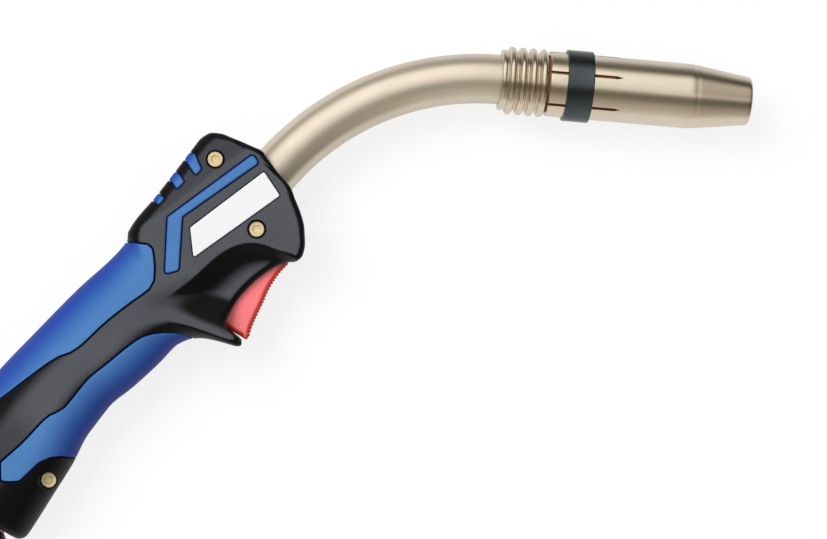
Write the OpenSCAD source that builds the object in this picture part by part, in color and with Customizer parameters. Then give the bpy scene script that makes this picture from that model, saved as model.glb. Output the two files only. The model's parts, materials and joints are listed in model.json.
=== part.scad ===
// MIG welding torch: a two-shell moulded handle with trigger, a swan neck, a ribbed collar and a
// slotted gas nozzle. The torch lies on its side: +X runs along the nozzle, +Z across the handle.
//
// Two frames are used. The torch frame starts at the centre of the nozzle's mouth, with the neck
// and collar behind it along -X. The handle frame starts where the neck's bend ends: its +X runs
// down the handle ("along"), its +Y points to the trigger side ("front"), and -Y is the back.

/* [Gas nozzle] */
// Outer diameter of the gas nozzle
nozzle_d = 26; // [24:0.5:30]
// Length of the gas nozzle
nozzle_l = 82; // [74:1:95]
// Outer diameter at the mouth
mouth_d = 19.4; // [18.6:0.2:22]
// Bore diameter at the mouth
mouth_bore_d = 16.4; // [15:0.2:17]
// Length of the taper down to the mouth
taper_l = 24; // [18:1:28]
// Wall of the nozzle's slotted socket
socket_wall = 1.6; // [1.2:0.1:2]
// Number of slots in the socket end
slot_count = 6; // [4:2:8]
// Length of a slot, with its pointed end
slot_l = 30; // [24:1:34]
// Width of a slot
slot_w = 1.3; // [0.8:0.1:1.6]
// Turn of the slots round the nozzle's axis
slot_turn = 43; // [0:1:59]

/* [Clamp band] */
// Width of the spring clamp band
band_w = 10.6; // [8:0.2:13]
// Wall of the clamp band
band_wall = 1.3; // [0.8:0.1:1.8]
// Distance from the nozzle's socket end to the band
band_inset = 6.8; // [4:0.2:9]

/* [Ribbed collar] */
// Number of round ribs
rib_count = 4; // [3:1:5]
// Distance from rib to rib
rib_pitch = 4.2; // [3.8:0.1:5]
// Outer diameter over the ribs
rib_d = 27.2; // [25:0.2:30]
// Diameter in the valleys
valley_d = 23; // [22:0.2:24.4]
// Width of the flange behind the ribs
flange_w = 2; // [1.5:0.1:3]

/* [Swan neck] */
// Outer diameter of the neck
neck_d = 19.8; // [18:0.2:21]
// Radius of the neck's bend along its centreline
neck_r = 107; // [95:1:125]
// Angle of the bend
neck_bend = 57; // [45:1:60]
// Wall of the outer neck tube
neck_wall = 1.5; // [0.8:0.1:1.6]
// Outer diameter of the copper conductor tube
conductor_d = 10; // [9:0.2:10.4]
// Wall of the copper conductor tube
conductor_wall = 2.2; // [1.5:0.1:2.2]
// Outer diameter of the wire liner
liner_d = 4.6; // [4:0.1:5]
// Bore of the wire liner
liner_bore = 2.2; // [1.6:0.1:2.6]

/* [Tip] */
// Diameter of the contact tip
tip_d = 8; // [6:0.5:8]
// Length of the contact tip in front of its thread
tip_l = 27; // [24:1:30]
// Bore for the welding wire
wire_bore = 1.2; // [0.8:0.1:1.6]
// How far the tip stays back from the nozzle's mouth
tip_recess = 6; // [5:0.5:8]

/* [Handle] */
// Length of the grip behind the head
grip_l = 101.5; // [90:0.5:120]
// Half thickness of the head
head_half = 17.5; // [17:0.1:18.5]
// Half thickness of the grip at its swell
grip_half = 19; // [18.5:0.1:20.5]
// Wall of the shells
shell_wall = 3.2; // [3:0.1:3.6]
// Depth of the finger scoop beside the trigger
scoop_depth = 5.6; // [4:0.1:5.8]
// Thickness of the coloured grip panels
panel_t = 2; // [1.5:0.1:2.2]
// Groove round the panels
panel_groove = 0.45; // [0.3:0.05:0.6]
// Thickness of the blank label plate
label_t = 0.8; // [0.6:0.1:1]

/* [Screws] */
// Head diameter of the sleeve nuts and of their screws
screw_head_d = 6; // [5.8:0.1:7.2]
// Shank diameter of the sleeve nuts
sleeve_d = 5; // [4.6:0.1:5.2]
// Thread diameter of the screws
screw_d = 3; // [2.5:0.1:3.2]

/* [Trigger] */
// Width of the trigger
trigger_w = 15; // [13:0.5:15.6]
// Wall of the trigger moulding
trigger_wall = 1.5; // [1.2:0.1:1.6]
// Number of grip ribs on the trigger's front
trigger_ribs = 24; // [18:1:28]
// Diameter of the trigger's pivot pin
pin_d = 2.5; // [2:0.1:2.8]
// How far the trigger turns
trigger_travel = 5; // [4:0.5:5]

/* [Cable swivel] */
// Radius of the swivel ball
ball_r = 13; // [12:0.1:13.5]
// Radius of the housing round the ball
housing_r = 18; // [17:0.1:18.8]
// Radius of the flare behind the swivel ring
flare_r = 20; // [18:0.1:20.5]
// Bore of the gland for the cable's hose
cable_bore = 17; // [15:0.5:18]

/* [Hidden] */

$fn = 64;
fit = 0.05;        // radial clearance of a running or sliding fit
gap = 0.3;         // clearance between bodies that don't touch
eps = 0.01;

// Places along the nozzle's axis, measured from the mouth
socket_x = -nozzle_l;                                  // nozzle's socket end
collar_x = socket_x - 0.4;                             // collar's front face
collar_l = rib_count * rib_pitch + flange_w;
neck_x = collar_x - collar_l;                          // collar's rear face, where the bend starts
tube_seat = 5;                                         // how deep the neck tube sits in the collar
seat_end = -56;                                        // front end of the nozzle's insulator
neck_r_out = neck_d / 2;
socket_r = nozzle_d / 2 - socket_wall;                 // bore of the nozzle's socket
core_r = neck_r_out - neck_wall - gap;                 // neck head inside the tube, collar and insulator

// Handle frame
bend_end = [neck_x - neck_r * sin(neck_bend), -neck_r * (1 - cos(neck_bend))];
handle_turn = 180 + neck_bend;

// Handle outlines, as [along, across] pairs that a smooth curve joins
head_l = 70;
function g(share) = head_l + share * grip_l;
nose = -7.9;
back_line = [
    [nose, -9.9], [-7.4, -11.6], [-6.2, -16.6], [-5, -21], [-3.9, -25], [-0.8, -29.4], [4, -30.8],
    [12, -30.7], [30, -30.6],
    [43, -31.2], [49, -30.7], [52.5, -29], [57, -29.2], [g(0.1), -33], [g(0.32), -35.6],
    [g(0.53), -37.8], [g(0.79), -39], [g(0.95), -37.6], [g(1), -35.5]
];
front_line = [
    [nose, -7.6], [-7.3, -6.2], [-6.6, -3.8], [-4.9, 2.6], [-3.8, 8.4], [-1, 13.3], [1.6, 17.8],
    [4.8, 22.1], [7.5, 24.6], [12, 28], [15.5, 29.2], [18, 28.6],
    [20.2, 26.3], [27, 22.5], [36, 20.2], [43, 19.6], [50, 20.4], [54, 21.6], [55.5, 23.8],
    [55.8, 30.6], [57.5, 31.6], [58.6, 30.8], [60, 27.7], [62.3, 22.2], [64.2, 18.6],
    [66.5, 15.7], [68.6, 13.8], [g(0.04), 11.4], [g(0.12), 10.6], [g(0.26), 8.2], [g(0.39), 5.4],
    [g(0.51), 5.5], [g(0.65), 7.9], [g(0.79), 9.3], [g(0.91), 10.5], [g(0.97), 10.9], [g(0.99), 10.3],
    [g(1), 8.8]
];
half_line = [
    [nose, head_half], [52, head_half], [g(0.1), grip_half - 0.4], [g(0.4), grip_half],
    [g(0.7), grip_half], [g(0.9), grip_half - 0.5], [g(0.97), grip_half - 1.4], [g(1), grip_half - 3.4]
];
back_round = [[nose, 2.2], [-3, 2.6], [3, 4], [44, 4.5], [50, 7], [56, 14], [g(0.1), 18], [g(1), 18]];
front_round = [
    [nose, 2.2], [-3, 2.3], [2, 2.7], [12, 2.9], [20, 2.8], [50, 3], [58, 5], [62, 8], [68.6, 14],
    [g(0.12), 18], [g(1), 18]
];

// Crease on the head: past it the flat leans away to the back edge
crease_line = [
    [nose, -12.5], [5.4, -16.8], [15.2, -19.1], [34.3, -24], [40.6, -26.5], [47.5, -29.6], [60, -36]
];
lean_rate = 0.18;

// Finger scoop: the ridge along its upper side and the crest along its lower side
ridge_line = [
    [17.5, 26], [18, 24], [19.6, 19.7], [21.6, 13.7], [23.2, 10.8], [26.7, 7.2], [31.3, 4.5],
    [37.1, 2.7], [50.3, 0.3], [62.5, -4.1], [70, -7]
];
ridge_blend = 14;
crest_at_tip = 57;
crest_slope = 0.25;
crest_blend = 15;
beak_across = 27;

// Sections of the moulded skin, closest where its outline turns
skin_sections = [
    nose, -7.4, -6.8, -6.2, -5.5, -4.7, -3.8, -2.4, -0.8, 1.6, 4.8, 7.5, 10, 12.5, 15.5, 17.5, 18.8,
    20.2, 22.5, 25,
    29, 34, 39, 43, 47, 50.5, 52.5, 54, 55.5, 55.8, 57.5, 58.6, 60, 62.3, 64.2, 66.5, 69.5,
    g(0.05), g(0.12), g(0.2), g(0.29), g(0.39), g(0.5), g(0.6), g(0.7), g(0.8), g(0.88),
    g(0.94), g(0.98), g(1)
];
floor_sections = [
    -6, -3, 0, 4, 10, 17, 24, 32, 40, 46, 50, 53, 56, 58.6, 62, 65, 68.6, g(0.06), g(0.14), g(0.24), g(0.35),
    g(0.46), g(0.57), g(0.68), g(0.79), g(0.9)
];
cavity_sections = [
    -3.5, 0, 4, 9, 15, 20, 28, 36, 45, 52, 57, 62, 68,
    g(0.08), g(0.2), g(0.35), g(0.5), g(0.65), g(0.8)
];

// Screws: place along and across the handle
screws = [[5.8, -21.1], [17.6, 8.5], [g(0.742), 4.2]];
boss_r = 4.7;
head_r = screw_head_d / 2;
head_t = 1.6;
head_sink = 1.8;
recess_r = head_r + 0.5;
dimple = 0.5;

// Trigger unit
pivot = [19, 22.6];
trigger_slot = trigger_w / 2 + 0.6;
trigger_front = [
    [16.4, 24], [18.5, 26.1], [21, 26.9], [26, 26.5], [31, 26.8], [35, 27.5], [39.3, 28.6], [44, 29.6],
    [48.6, 30.7], [53.4, 32.5]
];
trigger_back = 16;                  // inner edge of the trigger's cheeks
trigger_reach = 36.4;               // from the pivot to the trigger's lower end
swing_gap = 0.35;                   // between the trigger's lower end and its slot
button_at = 40;                     // switch button along the handle
button_stroke = (button_at - pivot.x) * tan(trigger_travel);
button_r = 1.6;
floor_at = 8;                       // carrier's floor under the switch, across the handle
floor_t = 1.2;
step_at = 11.2;                     // carrier's floor over the neck block
switch_size = [12.8, 6, 6.4];
switch_at = floor_at + floor_t;
button_top = switch_at + switch_size.y + button_stroke + 0.6;
cheek = 1.2;                        // thickness of the carrier's ears
ear_out = trigger_w / 2 - trigger_wall - 0.1;          // outer face of the carrier's ears
ear_in = ear_out - cheek;
wing_at = 24;                       // ribs over and under the carrier's wing
wing_in = ear_out + gap;
wing_out = wing_in + cheek;

// Neck pieces inside the handle
block_l = 22;
block_r = 10.2;
saddles = [2, 11];
stub_l = 14;                        // threaded stub behind the block
nut_l = 6.4;
nut_flats = 18;

// Swivel at the end of the handle
swivel_across = -14;
handle_end = g(1);
ring_flange = [handle_end - 8.5, handle_end - 4.5];    // ring's flange, held in the shells' groove
ring_r = 17.2;
ring_bore = 10 + fit;
ring_out = 1.7;                                        // how far the ring stands out of the handle
ball_neck_r = 8.6;
ball_bore = 6.4;                                       // way of the cable's cores through the ball
clip_r = 9;                                            // groove of the clip behind the ring
clip_w = 1.4;
ball_at = handle_end + 17;
hose_r = cable_bore / 2;
gland_from = ball_at + 22;
gland_l = 15;
gland_r = 15;
seal_r = 11;

// Where the part's own frame starts: the middle of its box, on the surface it lies on
tail = gland_from + gland_l;
tail_across = swivel_across - gland_r;
low = bend_end + [tail * cos(handle_turn) - tail_across * sin(handle_turn),
                  tail * sin(handle_turn) + tail_across * cos(handle_turn)];
low_y = low.y + 2 * gland_r * cos(handle_turn);
frame_shift = [-low.x / 2, -(low_y + nozzle_d / 2 + band_wall) / 2, max(grip_half, flare_r)];

// ---------------------------------------------------------------- smooth curves and the skin

// Slope at point i of a table, kept flat at a turn so that the curve never overshoots
function chord(t, i) = (t[i + 1].y - t[i].y) / (t[i + 1].x - t[i].x);
function slope(t, i) =
    i == 0 ? chord(t, 0) :
    i == len(t) - 1 ? chord(t, i - 1) :
    let (a = chord(t, i - 1), b = chord(t, i)) a * b <= 0 ? 0 : 2 * a * b / (a + b);
function span(t, x, i = 0) = i >= len(t) - 2 || x < t[i + 1].x ? i : span(t, x, i + 1);
function curve(t, x) =
    let (i = span(t, x), w = t[i + 1].x - t[i].x, s = min(max((x - t[i].x) / w, 0), 1))
    t[i].y * (1 + 2 * s) * pow(1 - s, 2) + slope(t, i) * w * s * pow(1 - s, 2)
    + t[i + 1].y * s * s * (3 - 2 * s) + slope(t, i + 1) * w * s * s * (s - 1);

// Drop of the skin at distance d inside an edge whose rounding is r wide and h high
function edge_drop(d, r, h) = d >= r ? 0 : h * (1 - sqrt(max(0, 1 - pow(1 - max(d, 0) / r, 2))));
function ease(x) = 1 - pow(1 - min(max(x, 0), 1), 2);
function smooth(x) = let (s = min(max(x, 0), 1)) s * s * (3 - 2 * s);
function lean(u, v) = lean_rate * max(0, curve(crease_line, u) - v) * smooth((56 - u) / 12);
function crest(v) = crest_at_tip + crest_slope * (beak_across - v);
function scoop(u, v) =
    u < ridge_line[0].x ? 0 :
    scoop_depth * ease((v - curve(ridge_line, u)) / ridge_blend) * smooth((crest(v) - u) / crest_blend);

// One section's outline, back edge, front edge and half thickness, set in by a wall
parting = 0.6;      // height of the flat land beside the parting plane
function back_at(u, t) =
    t + (t == 0 ? curve(back_line, u)
        : max(curve(back_line, u - t), curve(back_line, u), curve(back_line, u + t)));
function front_at(u, t) =
    (t == 0 ? curve(front_line, u)
        : min(curve(front_line, u - t), curve(front_line, u), curve(front_line, u + t))) - t;
function half_at(u, t) = curve(half_line, u) - t;
function round_at(table, u, t) = max(1, curve(table, u) - t);
// Round the nose the edge lines run steeply, and a step across the handle is not square to them
nose_to = 12;
function square_share(line, u) = u >= nose_to ? 1 :
    let (a = max(u - 0.4, nose), b = u + 0.4, s = (curve(line, b) - curve(line, a)) / (b - a))
    1 - (1 - 1 / norm([1, s])) * smooth((nose_to - u) / 6);
function skin_z(u, v, t = 0) =
    let (w = half_at(u, t), ra = round_at(back_round, u, t), rb = round_at(front_round, u, t),
         da = square_share(back_line, u) * (v - back_at(u, t)),
         db = square_share(front_line, u) * (front_at(u, t) - v))
    w - max(edge_drop(da, ra, min(ra, w - parting)), edge_drop(db, rb, min(rb, w - parting)))
      - scoop(u, v) - lean(u, v);
// How far an edge's rounding reaches in from it, across the handle
function reach_at(table, line, u, t) =
    min(round_at(table, u, t) / square_share(line, u), 0.46 * (front_at(u, t) - back_at(u, t)));

// Places across one section where its skin is measured, one on the crease and one on the scoop's ridge
function across_at(u, t, arc) =
    let (b = back_at(u, t), f = front_at(u, t),
         ra = reach_at(back_round, back_line, u, t), rb = reach_at(front_round, front_line, u, t),
         m0 = b + ra, m1 = f - rb,
         ridge = u < ridge_line[0].x || u > 64 ? (m0 + m1) / 2 : curve(ridge_line, u),
         mr = min(max(ridge, m0 + 0.4 * (m1 - m0)), m0 + 0.8 * (m1 - m0)),
         mc = min(max(curve(crease_line, u), m0 + 0.1 * (m1 - m0)), m0 + 0.35 * (m1 - m0)))
    concat([for (i = [0:arc]) b + ra * (1 - cos(90 * i / arc))],
           [mc, mr],
           [for (s = [0.25, 0.5, 0.75]) mr + s * (m1 - mr)],
           [for (i = [arc:-1:0]) f - rb * (1 - cos(90 * i / arc))]);

function section(u, t, arc, z0) =
    let (vs = across_at(u, t, arc), n = len(vs))
    concat([[u, vs[0], z0]], [for (v = vs) [u, v, skin_z(u, v, t)]], [[u, vs[n - 1], z0]]);

// Closed solid through rings of points with as many points each
module loft(rings) {
    n = len(rings[0]);
    m = len(rings);
    sides = [for (i = [0:m - 2], j = [0:n - 1], k = [0:1])
        k == 0 ? [i * n + j, i * n + (j + 1) % n, (i + 1) * n + (j + 1) % n]
               : [i * n + j, (i + 1) * n + (j + 1) % n, (i + 1) * n + j]];
    caps = [[for (j = [n - 1:-1:0]) j], [for (j = [0:n - 1]) (m - 1) * n + j]];
    polyhedron([for (r = rings, p = r) p], concat(sides, caps));
}

// Half of the handle above the parting plane, and the floor that lies t under its skin
whole = [-10, 200];
module skin(reach = whole)
    loft([for (u = skin_sections) if (u >= reach[0] && u <= reach[1]) section(u, 0, 4, 0)]);
module floor_under(t, reach = whole)
    loft([for (u = floor_sections) if (u >= reach[0] && u <= reach[1]) section(u, t, 3, -1)]);
module cavity() loft([for (u = cavity_sections) section(u, shell_wall, 3, -1)]);

// ---------------------------------------------------------------- frames

module placed() translate(frame_shift) children();
module in_handle() placed() translate([bend_end.x, bend_end.y, 0]) rotate([0, 0, handle_turn]) children();
// Turned pieces: their axis along X, starting at [x, across]
module along(x, across = 0) translate([x, across, 0]) rotate([0, 90, 0]) children();
module rod(x0, x1, r, across = 0) along(x0, across) cylinder(r = r, h = x1 - x0);
module tube(x0, x1, r, bore, across = 0) difference() {
    rod(x0, x1, r, across);
    rod(x0 - 1, x1 + 1, bore, across);
}
module cone(x0, x1, r0, r1, across = 0) along(x0, across) cylinder(r1 = r0, r2 = r1, h = x1 - x0);

// ---------------------------------------------------------------- outlines on the handle

beyond = 8;          // how far the panels' ground reaches past the handle's edge
function sampled(table, n) = let (u0 = table[0].x, u1 = table[len(table) - 1].x)
    [for (i = [0:n]) let (u = u0 + (u1 - u0) * i / n) [u, curve(table, u)]];
module soft_corners(r = 2) offset(r = r, $fn = 20) offset(delta = -r) children();

// Back panel: its upper line, closed past the handle's back edge
back_upper = [
    [50.2, -16.7], [58, -10.6], [61.3, -10], [68.4, -12], [g(0.12), -15.5], [g(0.275), -18.2],
    [g(0.345), -22.3], [g(0.495), -27], [g(0.6), -30], [g(0.79), -38.5]
];
module back_ground(grow) offset(delta = grow) soft_corners() polygon(concat(
    [[52.6, -29 - beyond], [52.6, -29], [48, -21.5], [48.2, -18.9]],
    sampled(back_upper, 26), [[g(0.8), -39 - beyond]]
));

// Front panel: its upper line, then the rear cap's edge, closed past the handle's front edge
front_upper = [
    [68.9, 9.1], [g(0.016), 4.9], [g(0.056), 0.6], [g(0.09), -1.6], [g(0.246), -5.7], [g(0.35), -7.9],
    [g(0.47), -8.1], [g(0.55), -11.5], [g(0.675), -12.8], [g(0.79), -15]
];
cap_edge = [
    [g(0.85), -10.2], [g(0.832), -7.3], [g(0.805), -4.1], [g(0.75), -3.2], [g(0.704), -2.5],
    [g(0.665), -0.3], [g(0.638), 2.8], [g(0.62), 7.2], [g(0.61), 8 + beyond]
];
module front_ground(grow) offset(delta = grow) soft_corners() polygon(concat(
    [[66.4, 14 + beyond], [67, 13.5]], sampled(front_upper, 28), cap_edge
));

// Bent stripe on the head, between the screws
module stripe_ground(grow) offset(delta = grow) soft_corners(1.2) polygon([
    [-4.8, -10.7], [35.2, -22], [53.7, -9.1], [48.9, -5.6], [31.5, -17.3], [-3.6, -6.5]
]);

// Blank label plate: a four-sided plate that narrows towards the nose
label_ground = [[41.5, -4.2], [33, -12.4], [-2, -3], [1.6, 7.7]];

// Three bars over the head's back edge
bars = [
    [
        [9.4, -31 - beyond], [9.4, -31], [8.8, -29], [12.1, -22.9], [15.6, -23.3],
        [13.2, -31], [13.2, -31 - beyond]
    ],
    [[19, -29 - beyond], [19, -28.9], [20, -25.2], [24.5, -25.7], [23.4, -29], [23.4, -29 - beyond]],
    [[29.3, -29 - beyond], [29.9, -27.6], [33.5, -27.8], [33.9, -29 - beyond]]
];
module bars_ground(grow) for (b = bars) offset(delta = grow) polygon(b);

// ---------------------------------------------------------------- handle shells and inlays

// Layer of the skin, t thick, over a ground outline
module inlay(t, reach) difference() {
    intersection() {
        skin(reach);
        linear_extrude(grip_half + 1) children();
    }
    floor_under(t, reach);
}
back_reach = [43, g(0.95)];
front_reach = [62, g(0.95)];
bars_reach = [1.5, 41];

bar_t = 1.4;
stripe_t = 1.4;
stripe_z = head_half - stripe_t;
function screw_top(s) = min(skin_z(s.x, s.y) - head_sink, skin_z(s.x, s.y + head_r) + 0.6);

module handle_shell() difference() {
    union() {
        difference() {
            skin();
            cavity();
        }
        intersection() {
            for (s = screws) translate(s) cylinder(r = boss_r, h = screw_top(s) - head_t + eps, $fn = 32);
            skin();
        }
        // Saddles that hold the neck block, and ribs that grip the switch carrier's wing
        for (u = saddles) translate([u, -28, 0]) cube([2, 39, head_half - shell_wall + gap]);
        translate([wing_at, step_at - 2, wing_in]) cube([2, 2, 14.6 - wing_in]);
        translate([wing_at, step_at + floor_t, wing_in]) cube([2, 2, 12.6 - wing_in]);
    }
    // Ground of the coloured inlays
    difference() {
        union() {
            linear_extrude(grip_half + 1) back_ground(0);
            linear_extrude(grip_half + 1) front_ground(0);
        }
        floor_under(panel_t);
    }
    difference() {
        linear_extrude(grip_half + 1) bars_ground(0.1);
        floor_under(bar_t);
    }
    translate([0, 0, stripe_z]) linear_extrude(5) stripe_ground(0.15);
    // Neck and neck block
    rod(-20, 0, neck_r_out + 0.4);
    rod(-0.1, block_l + 0.1, block_r + 0.06);
    rod(block_l, block_l + 30, 11.6);
    // Trigger slot, round the pivot
    intersection() {
        translate([pivot.x, pivot.y, -1]) cylinder(r = trigger_reach + swing_gap, h = trigger_slot + 1, $fn = 180);
        translate([pivot.x - 3.6, 13, -1]) cube([60, 40, trigger_slot + 1]);
    }
    // Screws: counterbore and sleeve
    for (s = screws) translate([s.x, s.y, screw_top(s) - head_t])
        cylinder(r = recess_r, h = 20, $fn = 32);
    for (s = screws) translate([s.x, s.y, -1]) cylinder(r = sleeve_d / 2 + 0.1, h = 40, $fn = 32);
    // Groove and opening for the swivel ring
    rod(ring_flange[0] - 0.06, ring_flange[1] + 0.06, ring_r + 0.15, swivel_across);
    rod(g(0.8), handle_end + 1, 15 + 0.15, swivel_across);
}

module handle_shell_near() color("#3b3c40") in_handle() difference() {
    handle_shell();
    translate([0, 0, head_half - label_t + 0.1]) linear_extrude(2) offset(delta = 0.15)
        polygon(label_ground);
}
module handle_shell_far() color("#3b3c40") in_handle() mirror([0, 0, 1]) handle_shell();

module back_grip() inlay(panel_t, back_reach) back_ground(-panel_groove);
module back_grip_near() color("#3a6fc0") in_handle() back_grip();
module back_grip_far() color("#3a6fc0") in_handle() mirror([0, 0, 1]) back_grip();
module front_grip() inlay(panel_t, front_reach) front_ground(-panel_groove);
module front_grip_near() color("#3a6fc0") in_handle() front_grip();
module front_grip_far() color("#3a6fc0") in_handle() mirror([0, 0, 1]) front_grip();

module accent_stripe() translate([0, 0, stripe_z]) linear_extrude(stripe_t + 0.2) stripe_ground(0);
module accent_stripe_near() color("#3a6fc0") in_handle() accent_stripe();
module accent_stripe_far() color("#3a6fc0") in_handle() mirror([0, 0, 1]) accent_stripe();

module accent_bars() inlay(bar_t, bars_reach) bars_ground(0);
module accent_bars_near() color("#3a6fc0") in_handle() accent_bars();
module accent_bars_far() color("#3a6fc0") in_handle() mirror([0, 0, 1]) accent_bars();

module label_plate() color("#f2f2f2") in_handle()
    translate([0, 0, head_half - label_t + 0.1]) linear_extrude(label_t) polygon(label_ground);

// ---------------------------------------------------------------- screws

// Sleeve nut from the near side, screw from the far side
module sleeve_nuts() color("#e0c48a") in_handle() for (s = screws) let (top = screw_top(s)) difference() {
    union() {
        translate([s.x, s.y, top - head_t]) cylinder(r = head_r, h = head_t);
        translate([s.x, s.y, -top / 2]) cylinder(r = sleeve_d / 2, h = 1.5 * top - head_t / 2);
    }
    translate([s.x, s.y, -top]) cylinder(r = screw_d / 2, h = top + 5);
    translate([s.x, s.y, top - dimple]) cylinder(r = screw_d / 2 - 0.4, h = 1);
}
module sleeve_screws() color("#e0c48a") in_handle() for (s = screws) let (top = screw_top(s)) difference() {
    union() {
        translate([s.x, s.y, -top]) cylinder(r = head_r, h = head_t);
        translate([s.x, s.y, -top]) cylinder(r = sleeve_d / 2, h = top / 2);
        translate([s.x, s.y, -top]) cylinder(r = screw_d / 2, h = top + 3);
    }
    translate([s.x, s.y, -top - 1]) cylinder(r = 1.5, h = 2.1, $fn = 6);
}

// ---------------------------------------------------------------- trigger unit

rib_depth = 0.5;
function trigger_edge(u) = curve(trigger_front, u);
// Front line with small round ribs from u0 to u1
function ribbed(u0, u1, n, steps = 4) = [for (i = [0:n * steps])
    let (u = u0 + (u1 - u0) * i / (n * steps))
    [u, trigger_edge(u) - rib_depth * (1 - abs(sin(180 * i / steps)))]];
rib_from = 20.5;
rib_to = 53;
trigger_outline = concat(
    [[pivot.x - 2.8, pivot.y - 1], [pivot.x - 2.4, pivot.y + 3], [pivot.x - 0.6, pivot.y + 4]],
    ribbed(rib_from, rib_to, trigger_ribs),
    [for (a = [15:-3:-9]) pivot + (trigger_reach + 0.08 * max(0, a - 10)) * [cos(a), sin(a)]],
    [[46, trigger_back - 0.5], [24, trigger_back + 1.5],
     [pivot.x + 1, pivot.y - 3], [pivot.x - 1.8, pivot.y - 2]]
);
hollow = [
    [pivot.x - 5, 8], [pivot.x - 5, pivot.y + 2.4], [pivot.x + 1, pivot.y + 2.4],
    for (u = [22, 27, 32, 37, 42, 46, 50]) [u, trigger_edge(u) - trigger_wall - rib_depth],
    [53, trigger_edge(53) - 3.4], [pivot.x + trigger_reach - trigger_wall - 0.2, 26],
    [pivot.x + trigger_reach - trigger_wall, 8]
];

module trigger() color("#ff6a64") in_handle() difference() {
    translate([0, 0, -trigger_w / 2]) linear_extrude(trigger_w) polygon(trigger_outline);
    difference() {
        translate([0, 0, -trigger_w / 2 + trigger_wall]) linear_extrude(trigger_w - 2 * trigger_wall)
            polygon(hollow);
        // post that presses the switch button
        translate([button_at - 2, button_top + 0.2, -3]) cube([4, 20, 6]);
    }
    translate([pivot.x, pivot.y, -trigger_w]) cylinder(r = pin_d / 2 + fit, h = 2 * trigger_w);
}

module trigger_pin() color("silver") in_handle()
    translate([pivot.x, pivot.y, -trigger_w / 2 + 0.1]) cylinder(r = pin_d / 2, h = trigger_w - 0.2);

// Carrier: a stepped floor with two ears for the pin and walls that hold the switch
module switch_carrier() color("#2e2e32") in_handle() difference() {
    union() {
        for (side = [-1, 1]) translate([0, 0, side > 0 ? ear_in : -ear_out]) linear_extrude(cheek) polygon([
            [pivot.x - 2, pivot.y], [pivot.x - 1.4, pivot.y + 1.5], [pivot.x, pivot.y + 2],
            [pivot.x + 1.4, pivot.y + 1.5], [pivot.x + 2.4, pivot.y - 1], [31, step_at + 0.5],
            [wing_at - 1, step_at + 0.5], [pivot.x - 2, pivot.y - 3.6]
        ]);
        translate([wing_at - 1, step_at, -wing_out]) cube([34.1 - wing_at + 1, floor_t, 2 * wing_out]);
        translate([32.9, floor_at, -ear_out]) cube([floor_t, step_at + floor_t - floor_at, 2 * ear_out]);
        translate([32.9, floor_at, -ear_out]) cube([20.6, floor_t, 2 * ear_out]);
        translate([34.1 + switch_size.x + 0.1, floor_at, -ear_out]) cube([floor_t, 4, 2 * ear_out]);
    }
    translate([pivot.x, pivot.y, -20]) cylinder(r = pin_d / 2 + 0.01, h = 40);
}

module switch_body() color("#1c1c1e") in_handle() difference() {
    translate([34.1, switch_at, -switch_size.z / 2]) cube(switch_size);
    translate([button_at, switch_at + 1, 0]) rotate([-90, 0, 0]) cylinder(r = button_r + fit, h = 8);
}

module switch_button() color("#c9c9cc") in_handle()
    translate([button_at, switch_at + 3.2, 0]) rotate([-90, 0, 0])
        cylinder(r = button_r, h = button_top - switch_at - 3.2);

// Torsion spring round the pin, with one leg on the carrier's floor and one under the trigger
wire_r = 0.35;
coil_r = 2;
coil_turns = 4;
coil_from = 222;
coil_to = 85 - 360 * coil_turns;
coil_half = 2.4;
coil_steps = 8 * coil_turns + 3;
leg_a = 11.4;
leg_b = 7;
function coil_at(a, s) = [pivot.x + coil_r * cos(a), pivot.y + coil_r * sin(a), coil_half * (2 * s - 1)];
function heading(a) = [sin(a), -cos(a), 0];
coil_path = concat(
    [coil_at(coil_from, 0) - leg_a * heading(coil_from)],
    [for (i = [0:coil_steps]) coil_at(coil_from + (coil_to - coil_from) * i / coil_steps, i / coil_steps)],
    [coil_at(coil_to, 1) + leg_b * heading(coil_to)]
);
function unit(v) = v / norm(v);
function path_dir(p, i) = unit(p[min(i + 1, len(p) - 1)] - p[max(i - 1, 0)]);
module wire(path, r, sides = 6) loft([for (i = [0:len(path) - 1])
    let (d = path_dir(path, i), n = unit(cross(d, [0, 0, 1])), b = cross(d, n))
    [for (k = [0:sides - 1]) path[i] + r * (cos(360 * k / sides) * n + sin(360 * k / sides) * b)]]);
module trigger_spring() color("silver") in_handle() wire(coil_path, wire_r);
echo(spring_gap = 2 * coil_half / coil_turns - 2 * wire_r);

// ---------------------------------------------------------------- neck

// Tube from x = front in the collar, round the bend to the handle frame's start
module swan(front, r_out, r_in) placed() {
    tube(neck_x, front, r_out, r_in);
    translate([neck_x, -neck_r, 0]) rotate([0, 0, 90]) rotate_extrude(angle = neck_bend)
        translate([neck_r, 0]) difference() {
            circle(r_out);
            circle(r_in);
        }
}

module neck_outer_tube() color("#c9bfae") swan(neck_x + tube_seat, neck_r_out, neck_r_out - neck_wall);
module neck_insulation() color("#e8dfc8")
    swan(neck_x + 3, neck_r_out - neck_wall - 0.1, conductor_d / 2 + 0.1);
module conductor_tube() color("#b87443") swan(neck_x + 12, conductor_d / 2, conductor_d / 2 - conductor_wall);
module wire_liner() color("#9a9a9c") swan(-70, liner_d / 2, liner_bore / 2);

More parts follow.
